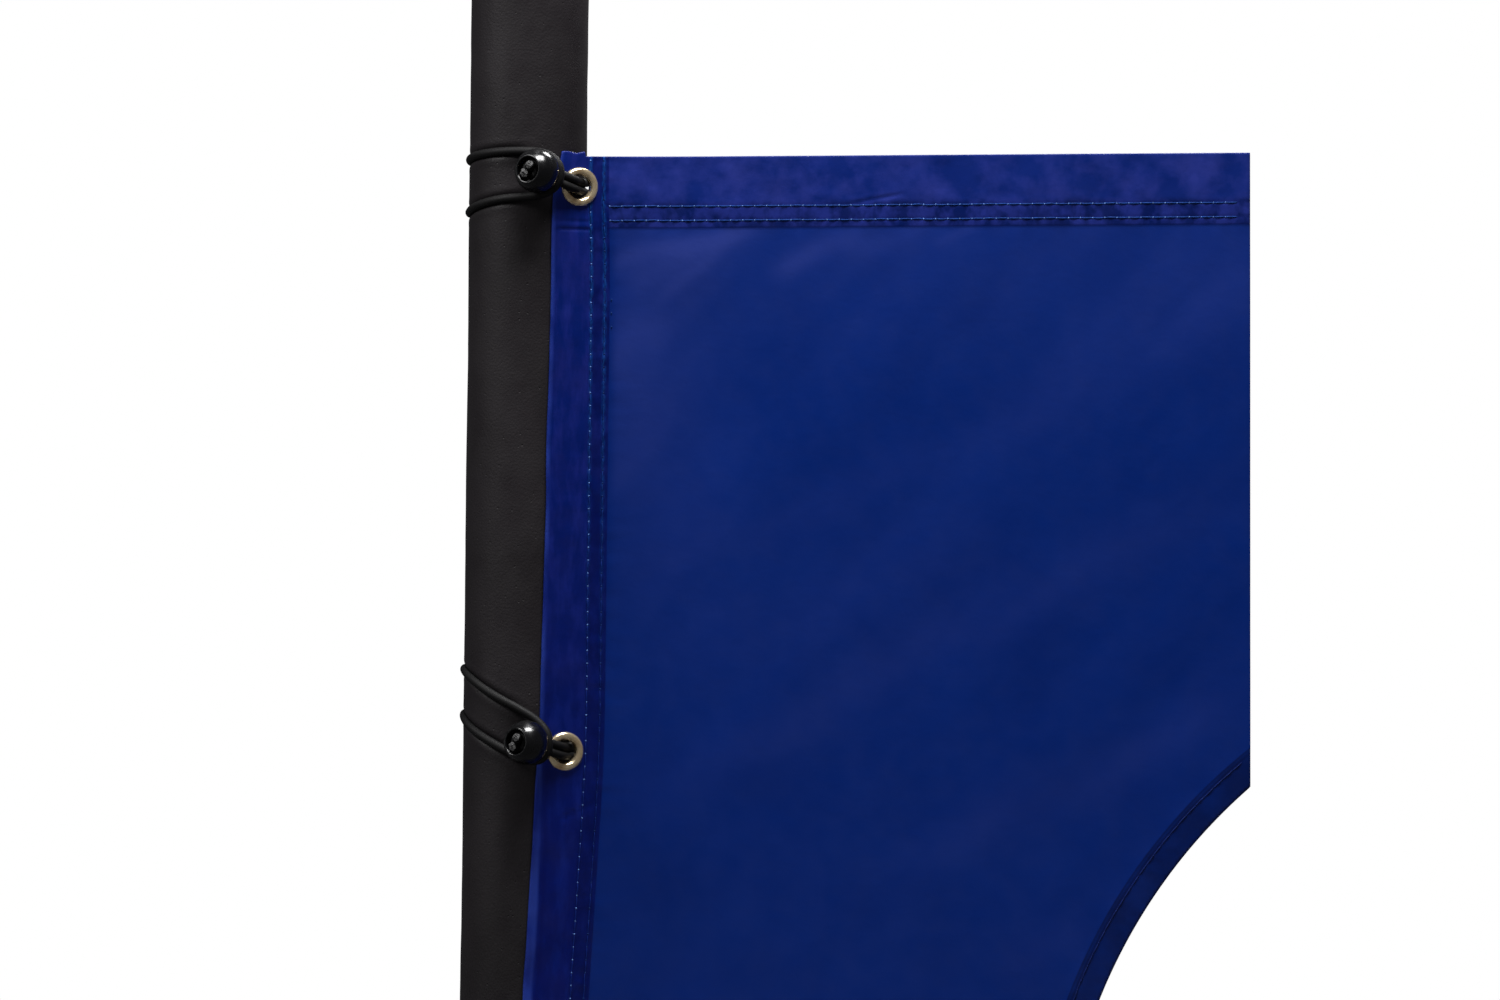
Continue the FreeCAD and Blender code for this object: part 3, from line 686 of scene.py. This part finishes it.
def sheet_grid():
    """The front and back points of the sheet, their s and t, and which ones are cut away."""
    s_lines = spaced_lines(S_HEM, 0.8, S_FULL, 2.0)
    t_lines = spaced_lines(T_HEM, 0.8, T_FULL, 2.0)
    s, t = np.meshgrid(s_lines, t_lines)
    x, z = sheet_place(s, t)
    near = hole_gap(x, z)
    inside = near < 0
    snapped = inside & (near > -SHEET_CELL)
    away = np.hypot(x - HOLE[0], z - HOLE[1])
    share = np.where(snapped, HOLE[2] / away, 1.0)
    x, z = HOLE[0] + (x - HOLE[0]) * share, HOLE[1] + (z - HOLE[1]) * share
    out = FABRIC / 2 + sheet_height(s, t, x, z)
    double = doubled(s, t, x, z)
    corner = fall(s, SIDE_HEM - 1, SIDE_HEM) * fall(t, TOP_HEM - 1, TOP_HEM)
    corner *= ramp(s, 8.0, 16.0)
    thick = FABRIC + (HEM - 0.2) * double + 0.5 * corner * ramp(eyelet_gap(x, z), 11, 14)
    dead = (inside & ~snapped) | (eyelet_gap(x, z) < 7.6)
    return off_run(x, z, out), off_run(x, z, out - thick), s, t, dead


# Soft streaks of painted highlight on the coat: x and z of both ends, half width and strength.
HIGHLIGHT_STREAKS = [
    (43, 465, 121, 487, 5.0, 0.75), (50, 455, 96, 474, 9.0, 0.5),
    (66, 444, 110, 479, 4.0, 0.45), (128, 462, 178, 488, 6.0, 0.4),
    (170, 470, 215, 489, 8.0, 0.22), (42, 395, 70, 440, 14.0, 0.3),
    (189, 140, 392, 242, 14.0, 0.17), (240, 372, 392, 472, 20.0, 0.15),
    (90, 250, 250, 330, 30.0, 0.1), (44, 340, 75, 400, 16.0, 0.2),
    (255, 90, 300, 120, 10.0, 0.12), (42, 170, 392, 357, 15.0, 0.15),
    (60, 300, 300, 400, 12.0, 0.1), (215, 478, 240, 486, 3.0, 0.25),
]


def painted_highlight(s, x, z):
    """How strong the painted highlight on the coat is, from 0 to 1."""
    total = 0.34 * bump(x, 66, 40.0) * ramp(z, 180.0, 480.0)
    total += 0.16 * ramp(z, 380.0, 480.0) * ramp(x, 60.0, 160.0)
    for x0, z0, x1, z1, half, strength in HIGHLIGHT_STREAKS:
        length = math.hypot(x1 - x0, z1 - z0)
        along = ((x - x0) * (x1 - x0) + (z - z0) * (z1 - z0)) / length
        across = ((x - x0) * (z1 - z0) - (z - z0) * (x1 - x0)) / length
        across = across + 3.0 * noise(along / 25.0, strength * 50, 71)
        ends = ramp(along, -0.1 * length, 0.3 * length)
        ends = ends * fall(along, 0.75 * length, 1.15 * length)
        total += strength * ends * bump(across, 0.0, half)
    fold = (x - 0.95 * z) / 16.0
    total *= 1.0 + 0.3 * noise(fold, (x + z) / 90.0, 73)
    return np.clip(total, 0.0, 1.0) * ramp(s, SIDE_HEM - 1.0, SIDE_HEM + 6.0)


def build_sheet(material):
    """The sheet: its front and back skins and the rounded rim round every open edge."""
    front, back, s, t, dead = sheet_grid()
    rows, columns = s.shape
    count = rows * columns
    index = np.arange(count).reshape(rows, columns)
    a, b = index[:-1, :-1], index[:-1, 1:]
    c, d = index[1:, 1:], index[1:, :-1]
    alive = ~(dead[:-1, :-1] | dead[:-1, 1:] | dead[1:, 1:] | dead[1:, :-1])
    quads = np.stack([a, d, c, b], -1)[alive]
    points = [front.reshape(-1, 3), back.reshape(-1, 3)]
    faces = [quads, quads[:, ::-1] + count]
    # the rim: each open edge of the front is joined to the back by a rounded strip
    edges = np.concatenate([quads[:, [i, (i + 1) % 4]] for i in range(4)])
    key = np.sort(edges, axis=1)
    _, first, uses = np.unique(key, axis=0, return_index=True, return_counts=True)
    rim = edges[first[uses == 1]]
    flat_front, flat_back = points
    on_cut = (s.ravel() >= S_FULL - 0.01) | (t.ravel() >= T_FULL - 0.01)
    at_hole = [v for v in np.unique(rim)
               if not on_cut[v] and abs(hole_gap(flat_front[v, 0], flat_front[v, 2])) < 5.0]
    for layer in points:
        away = layer[at_hole][:, [0, 2]] - np.array([HOLE[0], HOLE[1]])
        away *= (HOLE[2] / np.linalg.norm(away, axis=1))[:, None]
        layer[at_hole, 0], layer[at_hole, 2] = HOLE[0] + away[:, 0], HOLE[1] + away[:, 1]
    middle = (flat_front + flat_back) / 2
    through = flat_front - flat_back
    outward = np.zeros((count, 3))
    along = middle[rim[:, 1]] - middle[rim[:, 0]]
    side = unit(np.cross(along, through[rim[:, 0]]))
    np.add.at(outward, rim[:, 0], side)
    np.add.at(outward, rim[:, 1], side)
    outward = unit(outward)
    on_rim = np.unique(rim)
    half = through / 2
    radius = np.minimum(np.linalg.norm(half, axis=1, keepdims=True), FABRIC / 2)
    chain = [np.arange(count)]
    for angle in (55.0, 0.0, -55.0):
        angle = math.radians(angle)
        ring = middle + half * math.sin(angle) + outward * radius * math.cos(angle) * 0.9
        number = np.full(count, -1)
        number[on_rim] = np.arange(len(on_rim)) + sum(len(p) for p in points)
        points.append(ring[on_rim])
        chain.append(number)
    chain.append(np.arange(count) + count)
    for upper, lower in zip(chain, chain[1:]):
        one, two = rim.T
        faces.append(np.stack([upper[two], upper[one], lower[one], lower[two]], -1))
    points = np.concatenate(points)
    faces = np.concatenate(faces)
    uv = np.stack([s.ravel(), t.ravel()], -1) * MM
    uv = np.concatenate([uv, uv, *[uv[on_rim]] * 3])
    # painted highlight on the coat, kept on each point for the fabric's colour
    highlight_share = painted_highlight(s, front[..., 0], front[..., 2]).ravel()
    highlight_share = np.concatenate([highlight_share, highlight_share, *[highlight_share[on_rim]] * 3])
    used, compact = np.unique(faces, return_inverse=True)
    piece = make_mesh("sheet_cloth", points[used], compact.reshape(-1, 4), [material], uv=uv[used])
    add_value(piece, "painted_highlight", highlight_share[used])
    return piece


# ---- stitches

def skin(rings, sides):
    """Quads that join each closed ring of points to the next one."""
    index = np.arange(rings * sides).reshape(rings, sides)
    after = np.roll(index, -1, axis=1)
    return np.stack([index[:-1], after[:-1], after[1:], index[1:]], -1).reshape(-1, 4)


def spokes(line, sides):
    """At each point of a line, the direction along it and the directions out of it."""
    along = unit(np.gradient(line, axis=0))
    frames = carried_frames(along)
    angle = full_turn(sides)
    return along, (frames[:, None, 0] * np.cos(angle)[None, :, None]
                   + frames[:, None, 1] * np.sin(angle)[None, :, None])


def tube(line, radius, sides=8):
    """Points and faces of a closed tube along a line, in millimetres."""
    line = np.asarray(line)
    radius = np.broadcast_to(radius, len(line))
    points = (line[:, None] + spokes(line, sides)[1] * radius[:, None, None]).reshape(-1, 3)
    first = list(range(sides))
    last = [(len(line) - 1) * sides + j for j in first]
    return points, [*skin(len(line), sides).tolist(), first[::-1], last]


def carried_frames(along):
    """Two directions across each point of a line, carried along it without twisting."""
    first = np.cross(along[0], (0.0, 0.3, 1.0))
    first /= np.linalg.norm(first)
    frames = np.zeros((len(along), 2, 3))
    for i, direction in enumerate(along):
        first = first - direction * first.dot(direction)
        first /= np.linalg.norm(first)
        frames[i] = first, np.cross(direction, first)
    return frames


def build_row(name, hole_at, count, thread, nub, strays=()):
    """One row of stitches with a dot of thread at each needle hole.

    hole_at(n, lift, wander) is the n-th needle hole, and n need not be whole.
    """
    all_points, all_faces, slots = [], [], []
    placed = 0

    def add(points, faces, slot):
        nonlocal placed
        all_points.append(points)
        all_faces.extend(tuple(i + placed for i in f) for f in faces)
        slots.extend([slot] * len(faces))
        placed += len(points)

    share = np.linspace(0.0, 1.0, 9)
    hump = np.sin(math.pi * share)
    rise = NEEDLE_DEPTH + (THREAD_RISE - NEEDLE_DEPTH) * hump ** 0.6
    thickness = THREAD_RADIUS * (0.75 + 0.25 * hump ** 0.5)
    for n in range(count):
        wander = 0.3 * noise(n * 0.73, 0.5, 31)
        add(*tube(hole_at(n + share, rise, wander * hump), thickness), 0)
        size = DOT_RADIUS + 0.14 * noise(n * 1.7, 3.5, 37)
        spot = hole_at(np.array([n - 0.055, n - 0.02, n + 0.02, n + 0.055]), 0.16, 0.0)
        add(*tube(spot, np.array([0.4, 1.0, 1.0, 0.4]) * size, 7), 1)
    for s, t in strays:
        spot = sheet_point(np.full(4, s), t + np.array([-0.6, -0.3, 0.3, 0.6]), 0.12)
        add(*tube(spot, np.array([0.15, 0.36, 0.36, 0.15]), 7), 1)
    points = np.concatenate(all_points)
    piece = make_mesh(name + "_stitches", points, all_faces, [thread, nub], slots)
    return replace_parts(piece, name + "_thread")


# Three stray needle marks beside the hem: how far in from the side and down from the top.
STRAY_STITCHES = ((36.0, 76.0), (36.0, 83.0), (36.2, 90.4))


def build_stitches(thread, nub, faint, dark):
    """The five rows: two down the side hem, two along the top hem and one round the hole."""
    def row_at(across, first, is_side):
        def hole_at(n, lift, wander):
            along = first + n * STITCH
            place = (across + wander + 0 * along, along)
            return sheet_point(*(place if is_side else place[::-1]), lift)
        return hole_at

    top_start = SIDE_ROWS[1] + 3.4
    side_count = int((T_FULL - 4.0) / STITCH)
    top_count = int((S_FULL - SIDE_ROWS[1] - 6.0) / STITCH)
    rows = []
    for name, across, first, count, dots, strays in (
            ("side_first", SIDE_ROWS[0], 2.0, side_count, nub, ()),
            ("side_second", SIDE_ROWS[1], 2.0, side_count, faint, STRAY_STITCHES),
            ("top_first", TOP_ROWS[0], top_start, top_count, nub, ()),
            ("top_second", TOP_ROWS[1], top_start, top_count, nub, ())):
        hole_at = row_at(across, first, name.startswith("side"))
        rows.append(build_row(name, hole_at, count, thread, dots, strays))

    ring = HOLE[2] + HOLE_ROW
    low = math.asin((CUT_BOTTOM + 1.0 - HOLE[1]) / ring)
    high = math.acos((HOLE[0] - CUT_RIGHT - 1.5) / ring)
    step = STITCH / ring

    def hole_row(n, lift, wander):
        angle = low + n * step
        reach = ring + wander
        x, z = HOLE[0] - reach * np.cos(angle), HOLE[1] + reach * np.sin(angle)
        s, t = sheet_run(x, z)
        out = FABRIC / 2 + sheet_height(s, t, x, z) + lift
        return np.stack([x, run_y(x) - out, z], -1)

    return [*rows, build_row("hole", hole_row, int((high - low) / step), dark, dark)]


def sheet_run(x, z):
    """s and t of a place on the flat of the sheet, well away from its hems."""
    s = SIDE_ROWS[0] + (x - side_seam(z)) / math.cos(FACET_TURN)
    t = CORNER_Z + TOP_SLOPE * (x - CORNER_X) - z
    return s, t


# ---- cords, knots and foam

def ball_frame(tie):
    """A ball's centre, the way out of its mouth, the way up its face and where its strands lie."""
    turn, rise, roll = (math.radians(tie[key]) for key in ("turn", "rise", "roll"))
    level = math.cos(rise)
    axis = Vector((-math.sin(turn) * level, -math.cos(turn) * level, math.sin(rise)))
    across = Vector((0, 0, 1)).cross(axis).normalized()
    upright = axis.cross(across)
    return Vector(tie["ball"]), axis, upright, upright * math.cos(roll) + across * math.sin(roll)


def round_post(radius, angle, height):
    """Points round the post's axis, with angles from the front."""
    return np.stack([radius * np.sin(angle), -radius * np.cos(angle), height], -1)


def on_sleeve(angle, height):
    """A point of the cord's middle on the sleeve, at an angle in degrees from the front."""
    radius = LAST_SLEEVE_RADIUS if angle == SLEEVE_ANGLES[-1] else SLEEVE_RADIUS
    turn = math.radians(angle)
    return Vector((radius * math.sin(turn), -radius * math.cos(turn), height))


def cord_route(tie):
    """The cord's points, from one cut end in the ball's mouth to the other."""
    centre, axis, upright, spread = ball_frame(tie)
    ends = [(9.6, spread * 2.7), (4.5, spread * 2.4), (-1.0, upright * STRAND_SPREAD)]
    start = [centre + axis * depth + side for depth, side in ends]
    finish = [centre + axis * depth - side for depth, side in reversed(ends)]

    def aloft(points):
        return [Vector((x, y, centre.z + z)) for x, y, z in points]

    def behind(key, angles):
        return [on_sleeve(angle, centre.z + z) for angle, z in zip(angles, tie[key])]

    neck_out = aloft((x, y, out) for x, y, out, back in tie["neck"])
    neck_in = aloft((x, y, back) for x, y, out, back in reversed(tie["neck"]))
    return [*start, *neck_out, *behind("rising", SLEEVE_ANGLES), *aloft(tie["bight"]),
            *behind("falling", SLEEVE_ANGLES[::-1]), *neck_in, *finish]


def spline_points(route, name):
    """Points read along the route's NURBS spline, in millimetres."""
    curve = bpy.data.curves.new(name, "CURVE")
    curve.dimensions = "3D"
    curve.resolution_u = 24
    spline = curve.splines.new("NURBS")
    spline.points.add(len(route) - 1)
    for point, place in zip(spline.points, route):
        point.co = (*(place * MM), 1.0)
    spline.order_u = 3
    spline.use_endpoint_u = True
    holder = add_object(name, curve)
    mesh = bpy.data.meshes.new_from_object(holder)
    line = np.array([v.co for v in mesh.vertices]) / MM
    bpy.data.objects.remove(holder)
    bpy.data.meshes.remove(mesh)
    return evenly(line, 0.36)


def evenly(line, step):
    """The same line with its points a step apart."""
    gaps = np.linalg.norm(np.diff(line, axis=0), axis=1)
    at = np.concatenate([[0.0], np.cumsum(gaps)])
    wanted = np.linspace(0.0, at[-1], int(at[-1] / step) + 1)
    return np.stack([np.interp(wanted, at, line[:, i]) for i in range(3)], -1)


def braid(along, angle):
    """Height of the jacket's woven strands, 0 to 1: ten strands each way, over and under."""
    turns = along / 11.0
    right = 5 * (angle / (2 * math.pi) + turns)
    left = 5 * (angle / (2 * math.pi) - turns)
    one = np.abs(np.sin(math.pi * right * 2))
    two = np.abs(np.sin(math.pi * left * 2))
    over = 0.5 + 0.5 * np.sin(math.pi * (right + left)) * np.sin(math.pi * (right - left))
    return one ** 0.7 * over + two ** 0.7 * (1 - over)


def build_cord(name, tie, jacket, core):
    """One cord with its braided jacket and its two cut ends; also its middle line and length."""
    line = spline_points(cord_route(tie), name + "_route")
    length = float(np.linalg.norm(np.diff(line, axis=0), axis=1).sum())
    sides, rings = CORD_SIDES, len(line)
    along, spoke = spokes(line, sides)
    angle = full_turn(sides)
    run = np.linspace(0.0, length, rings)
    high = braid(run[:, None], angle[None, :])
    radius = CORD_RADIUS - 0.16 + 0.19 * high
    points = (line[:, None] + spoke * radius[..., None]).reshape(-1, 3)
    faces = skin(rings, sides).tolist()
    slots = [0] * len(faces)
    extra = []
    # each cut end: rings that close in on the core, with the jacket frayed round it
    for end, outward in ((0, -1), (-1, 1)):
        previous = np.arange(sides) + (end % rings) * sides
        for share, push in ((1.0, 0.2), (0.75, 0.5), (0.35, 0.75)):
            ragged = 0.4 * noise(angle * 2.2 + end * 7 + 9, np.full(sides, share * 9.0), 41)
            splay = 1.0 + 0.16 * noise(angle * 1.7 + end * 5, np.full(sides, share * 4.0), 43)
            centre = line[end] + along[end] * outward * push
            offsets = spoke[end] * (CORD_RADIUS * share * splay)[:, None]
            now = np.arange(sides) + rings * sides + len(extra)
            extra.extend(centre + offsets + along[end] * outward * ragged[:, None])
            quads = np.stack([previous, now, np.roll(now, -1), np.roll(previous, -1)], -1)
            faces.extend(quads[:, ::-outward].tolist())
            slots.extend([int(share < 0.9)] * sides)
            previous = now
        faces.append(previous[::-outward].tolist())
        slots.append(1)
    uv = np.stack(np.broadcast_arrays(run[:, None] * MM, angle[None, :]), -1).reshape(-1, 2)
    uv = np.concatenate([uv, np.zeros((len(extra), 2))])
    points = np.concatenate([points, extra])
    piece = make_mesh(f"cord_{name}_jacket", points, faces, [jacket, core], slots, uv)
    # the braid's height on each point, for the jacket's painted shade in its grooves
    add_value(piece, "strand", np.concatenate([high.ravel(), np.zeros(len(extra))]))
    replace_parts(piece, f"cord_{name}")
    return piece, line, length


def build_knot(name, tie, jacket):
    """The knot behind the cut ends: a short length of the same cord wound round both of them."""
    centre, axis, _, major = ball_frame(tie)
    rings, sides = 120, 18
    turns = np.linspace(0.0, 1.6 * 2 * math.pi, rings)
    depth = 3.9 + 2.3 * turns / turns[-1]
    wide, narrow, thickness = 3.9, 3.35, 1.75
    minor = axis.cross(major)
    line = np.array([
        centre + axis * d + major * wide * math.cos(a) + minor * narrow * math.sin(a)
        for a, d in zip(turns, depth)])
    points, faces = tube(line, thickness, sides)
    ring, side = np.repeat(np.arange(rings), sides), np.tile(np.arange(sides), rings)
    uv = np.stack([ring * 0.3 * MM, side * 0.35], -1)
    piece = make_mesh(f"knot_{name}_wrap", points, faces, [jacket], uv=uv)
    # a light and dark pattern across the wound cord, for the jacket's painted shade between its
    # strands
    add_value(piece, "strand", 0.5 + 0.5 * np.sin(ring * 0.9 + side))
    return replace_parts(piece, f"knot_{name}")


def foam_rows(lines):
    """Heights of the foam's rings: close together where the cords press in."""
    low, high = FOAM_BASE + FOAM_EDGE, FOAM_TOP - FOAM_EDGE
    fine = set()
    for line in lines:
        on_foam = line[np.hypot(line[:, 0], line[:, 1]) < FOAM_RADIUS + 3.0]
        fine.update(np.round(np.arange(on_foam[:, 2].min() - 9, on_foam[:, 2].max() + 9, 0.85), 2))
    coarse = np.arange(low + 3.0, high - 3.0, 3.2)
    taken = np.array(sorted(fine))
    free = [z for z in coarse if np.abs(taken - z).min() > 2.0]
    return np.array(sorted([*taken, *free, low, high]))


def build_foam(lines, material):
    """The foam tube with rounded ends, pressed in under the cords."""
    angle = full_turn(FOAM_SIDES)
    phi, z = np.meshgrid(angle, foam_rows(lines))
    wave = 0.22 * noise(np.cos(phi) * 1.6 + z / 70.0, np.sin(phi) * 1.6 + z / 130.0, 51)
    wave += 0.09 * noise(np.cos(phi) * 5.0 + z / 16.0, np.sin(phi) * 5.0 - z / 23.0, 53)
    radius = FOAM_RADIUS + FOAM_PROUD + wave - pressed_depth(lines, phi, z)
    wall = round_post(radius, phi, z).reshape(-1, 3)
    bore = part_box("post_tube")[1].x / MM + 0.35
    flat = FOAM_RADIUS + FOAM_PROUD - FOAM_EDGE
    profile_top, profile_low = [], []
    for step in (25.0, 50.0, 72.0, 90.0):
        turn = math.radians(step)
        out, inset = flat + FOAM_EDGE * math.cos(turn), FOAM_EDGE * math.sin(turn)
        profile_top.append((out, FOAM_TOP - FOAM_EDGE + inset))
        profile_low.append((out, FOAM_BASE + FOAM_EDGE - inset))
    for share in (0.25, 0.5, 0.75, 0.96):
        out = flat + (bore + 0.5 - flat) * share
        profile_top.append((out, FOAM_TOP + 0.12 * math.sin(share * 9)))
        profile_low.append((out, FOAM_BASE))
    profile_top.append((bore, FOAM_TOP - 0.8))
    profile_low.append((bore, FOAM_BASE + 0.8))
    rings_low = [ring_of(r, h, angle, 57) for r, h in reversed(profile_low)]
    rings_top = [ring_of(r, h, angle, 59) for r, h in profile_top]
    points = np.concatenate([*rings_low, wall, *rings_top])
    # the last ring, inside the bore at the top, is joined to the first one at the bottom
    faces = skin(len(points) // FOAM_SIDES + 1, FOAM_SIDES) % len(points)
    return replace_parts(make_mesh("foam_skin", points, faces, [material]), "foam_sleeve")


def ring_of(radius, height, angle, seed):
    """A slightly uneven ring of points."""
    uneven = radius + 0.12 * noise(np.cos(angle) * 4, np.sin(angle) * 4 + radius, seed)
    return round_post(uneven, angle, np.full(len(angle), height))


def pressed_depth(lines, phi, z):
    """How deep the cords press into the foam at each angle and height."""
    spots, bottoms = [], []
    for line in lines:
        reach = np.hypot(line[:, 0], line[:, 1])
        on_foam = reach < FOAM_RADIUS + 2.6
        turn = np.arctan2(line[:, 0], -line[:, 1])
        for wrap in (0.0, 2 * math.pi):
            flat = np.stack([(turn + wrap) * FOAM_RADIUS, line[:, 2]], -1)[on_foam]
            spots.append(flat)
            bottoms.append(FOAM_RADIUS - (reach[on_foam] - CORD_RADIUS))
    spots, bottoms = np.concatenate(spots), np.concatenate(bottoms)
    tree = KDTree(len(spots))
    for i, (across, height) in enumerate(spots):
        tree.insert((across, height, 0.0), i)
    tree.balance()
    depth = np.zeros(phi.size)
    for i, (turn, height) in enumerate(zip(phi.ravel(), z.ravel())):
        _, near, gap = tree.find((turn * FOAM_RADIUS, height, 0.0))
        if gap < 9.0:
            sunk = max(bottoms[near], 0.0)
            # a dent with a low ridge beside it, and under the cord the cord's own shape
            dent = sunk * math.exp(-(gap / 2.3) ** 2) - 0.12 * math.exp(-((gap - 5.2) / 1.8) ** 2)
            if gap < CORD_RADIUS:
                under = sunk - CORD_RADIUS + math.sqrt(CORD_RADIUS ** 2 - gap ** 2)
                dent = max(under, dent) + (0.05 if sunk > 0 else 0.0)
            depth[i] = dent
    return depth.reshape(phi.shape)


# ---- light, floor and camera

def build_light(name, place, target, size, power):
    light = bpy.data.lights.new(name, "AREA")
    light.shape = "RECTANGLE"
    light.size, light.size_y = size
    light.energy = power
    holder = add_object(name, light)
    holder.location = place
    holder.rotation_euler = (Vector(target) - Vector(place)).to_track_quat("-Z", "Y").to_euler()


def build_floor():
    """A round pale board under the post's foot."""
    mesh = bpy.data.meshes.new("floor")
    ring = [(FLOOR_RADIUS * math.cos(a), FLOOR_RADIUS * math.sin(a), 0.0) for a in full_turn(96)]
    mesh.from_pydata(ring, [], [tuple(range(len(ring)))])
    mesh.materials.append(floor_material())
    floor = add_object("floor", mesh)
    floor.location = (SUBJECT[0], 0.0, CAD_BOX[0].z)
    floor.visible_glossy = False


def build_world():
    """White where the camera sees it, and dim where it lights the scene."""
    world = bpy.data.worlds.new("studio")
    bpy.context.scene.world = world
    world.use_nodes = True
    nodes, links = world.node_tree.nodes, world.node_tree.links
    nodes.clear()
    mixer = nodes.new("ShaderNodeMixShader")
    path = nodes.new("ShaderNodeLightPath")
    links.new(path.outputs["Is Camera Ray"], mixer.inputs["Fac"])
    for socket, colour, strength in ((1, (0.96, 0.97, 1.0), 0.085), (2, (1.0, 1.0, 1.0), 1.0)):
        light = nodes.new("ShaderNodeBackground")
        light.inputs["Color"].default_value = (*colour, 1.0)
        light.inputs["Strength"].default_value = strength
        links.new(light.outputs["Background"], mixer.inputs[socket])
    out = nodes.new("ShaderNodeOutputWorld")
    links.new(mixer.outputs["Shader"], out.inputs["Surface"])


def build_camera():
    """Level, square to the sheet and far away, rolled a little."""
    data = bpy.data.cameras.new("camera")
    data.sensor_width = 36.0
    data.lens = data.sensor_width * CAMERA_DISTANCE / VIEW_WIDTH
    data.clip_start, data.clip_end = 0.05, 60.0
    camera = add_object("camera", data)
    camera.location = (0.1199, -CAMERA_DISTANCE, 0.3413)
    camera.rotation_euler = (math.pi / 2, -CAMERA_ROLL, 0.0)
    bpy.context.scene.camera = camera
    bpy.context.scene.view_settings.view_transform = "Standard"


# ---- everything together

def paint(node, material):
    """Gives a CAD part its finished material."""
    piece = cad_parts[node]
    piece.data.materials.clear()
    piece.data.materials.append(material)


def place_piece(piece):
    """Puts a piece on the body that carries the sleeve."""
    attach(piece, "sleeve")
    return piece


def build():
    build_camera()
    build_floor()
    build_world()
    for name, light in LIGHTS.items():
        build_light(name, *light)
    jacket, core = cord_material(), core_material()
    lines = []
    for name, tie in TIES.items():
        piece, line, length = build_cord(name, tie, jacket, core)
        place_piece(piece)
        lines.append(line)
        print(f"cord_{name}: {length:.1f} mm")
        place_piece(build_knot(name, tie, jacket))
    foam = place_piece(build_foam(lines, foam_material()))
    cloth = place_piece(build_sheet(sheet_material()))
    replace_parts(cloth, "sheet_panel", "side_hem", "top_hem", "hole_hem")
    thread = thread_material("thread_blue", (0.002, 0.030, 0.165), darkens_low=True)
    nub = thread_material("thread_nub", (0.085, 0.17, 0.42))
    faint = thread_material("thread_faint", (0.002, 0.020, 0.115))
    dark = thread_material("thread_dark", (0.001, 0.009, 0.085))
    rows = build_stitches(thread, nub, faint, dark)
    for row in rows:
        place_piece(row)
    paint("post_tube", steel_material())
    paint("top_cap", cap_material())
    brass, plastic = brass_material(), ball_material()
    for name in TIES:
        paint("eyelet_" + name, brass)
        paint("washer_" + name, brass)
        paint("ball_" + name, plastic)


build()
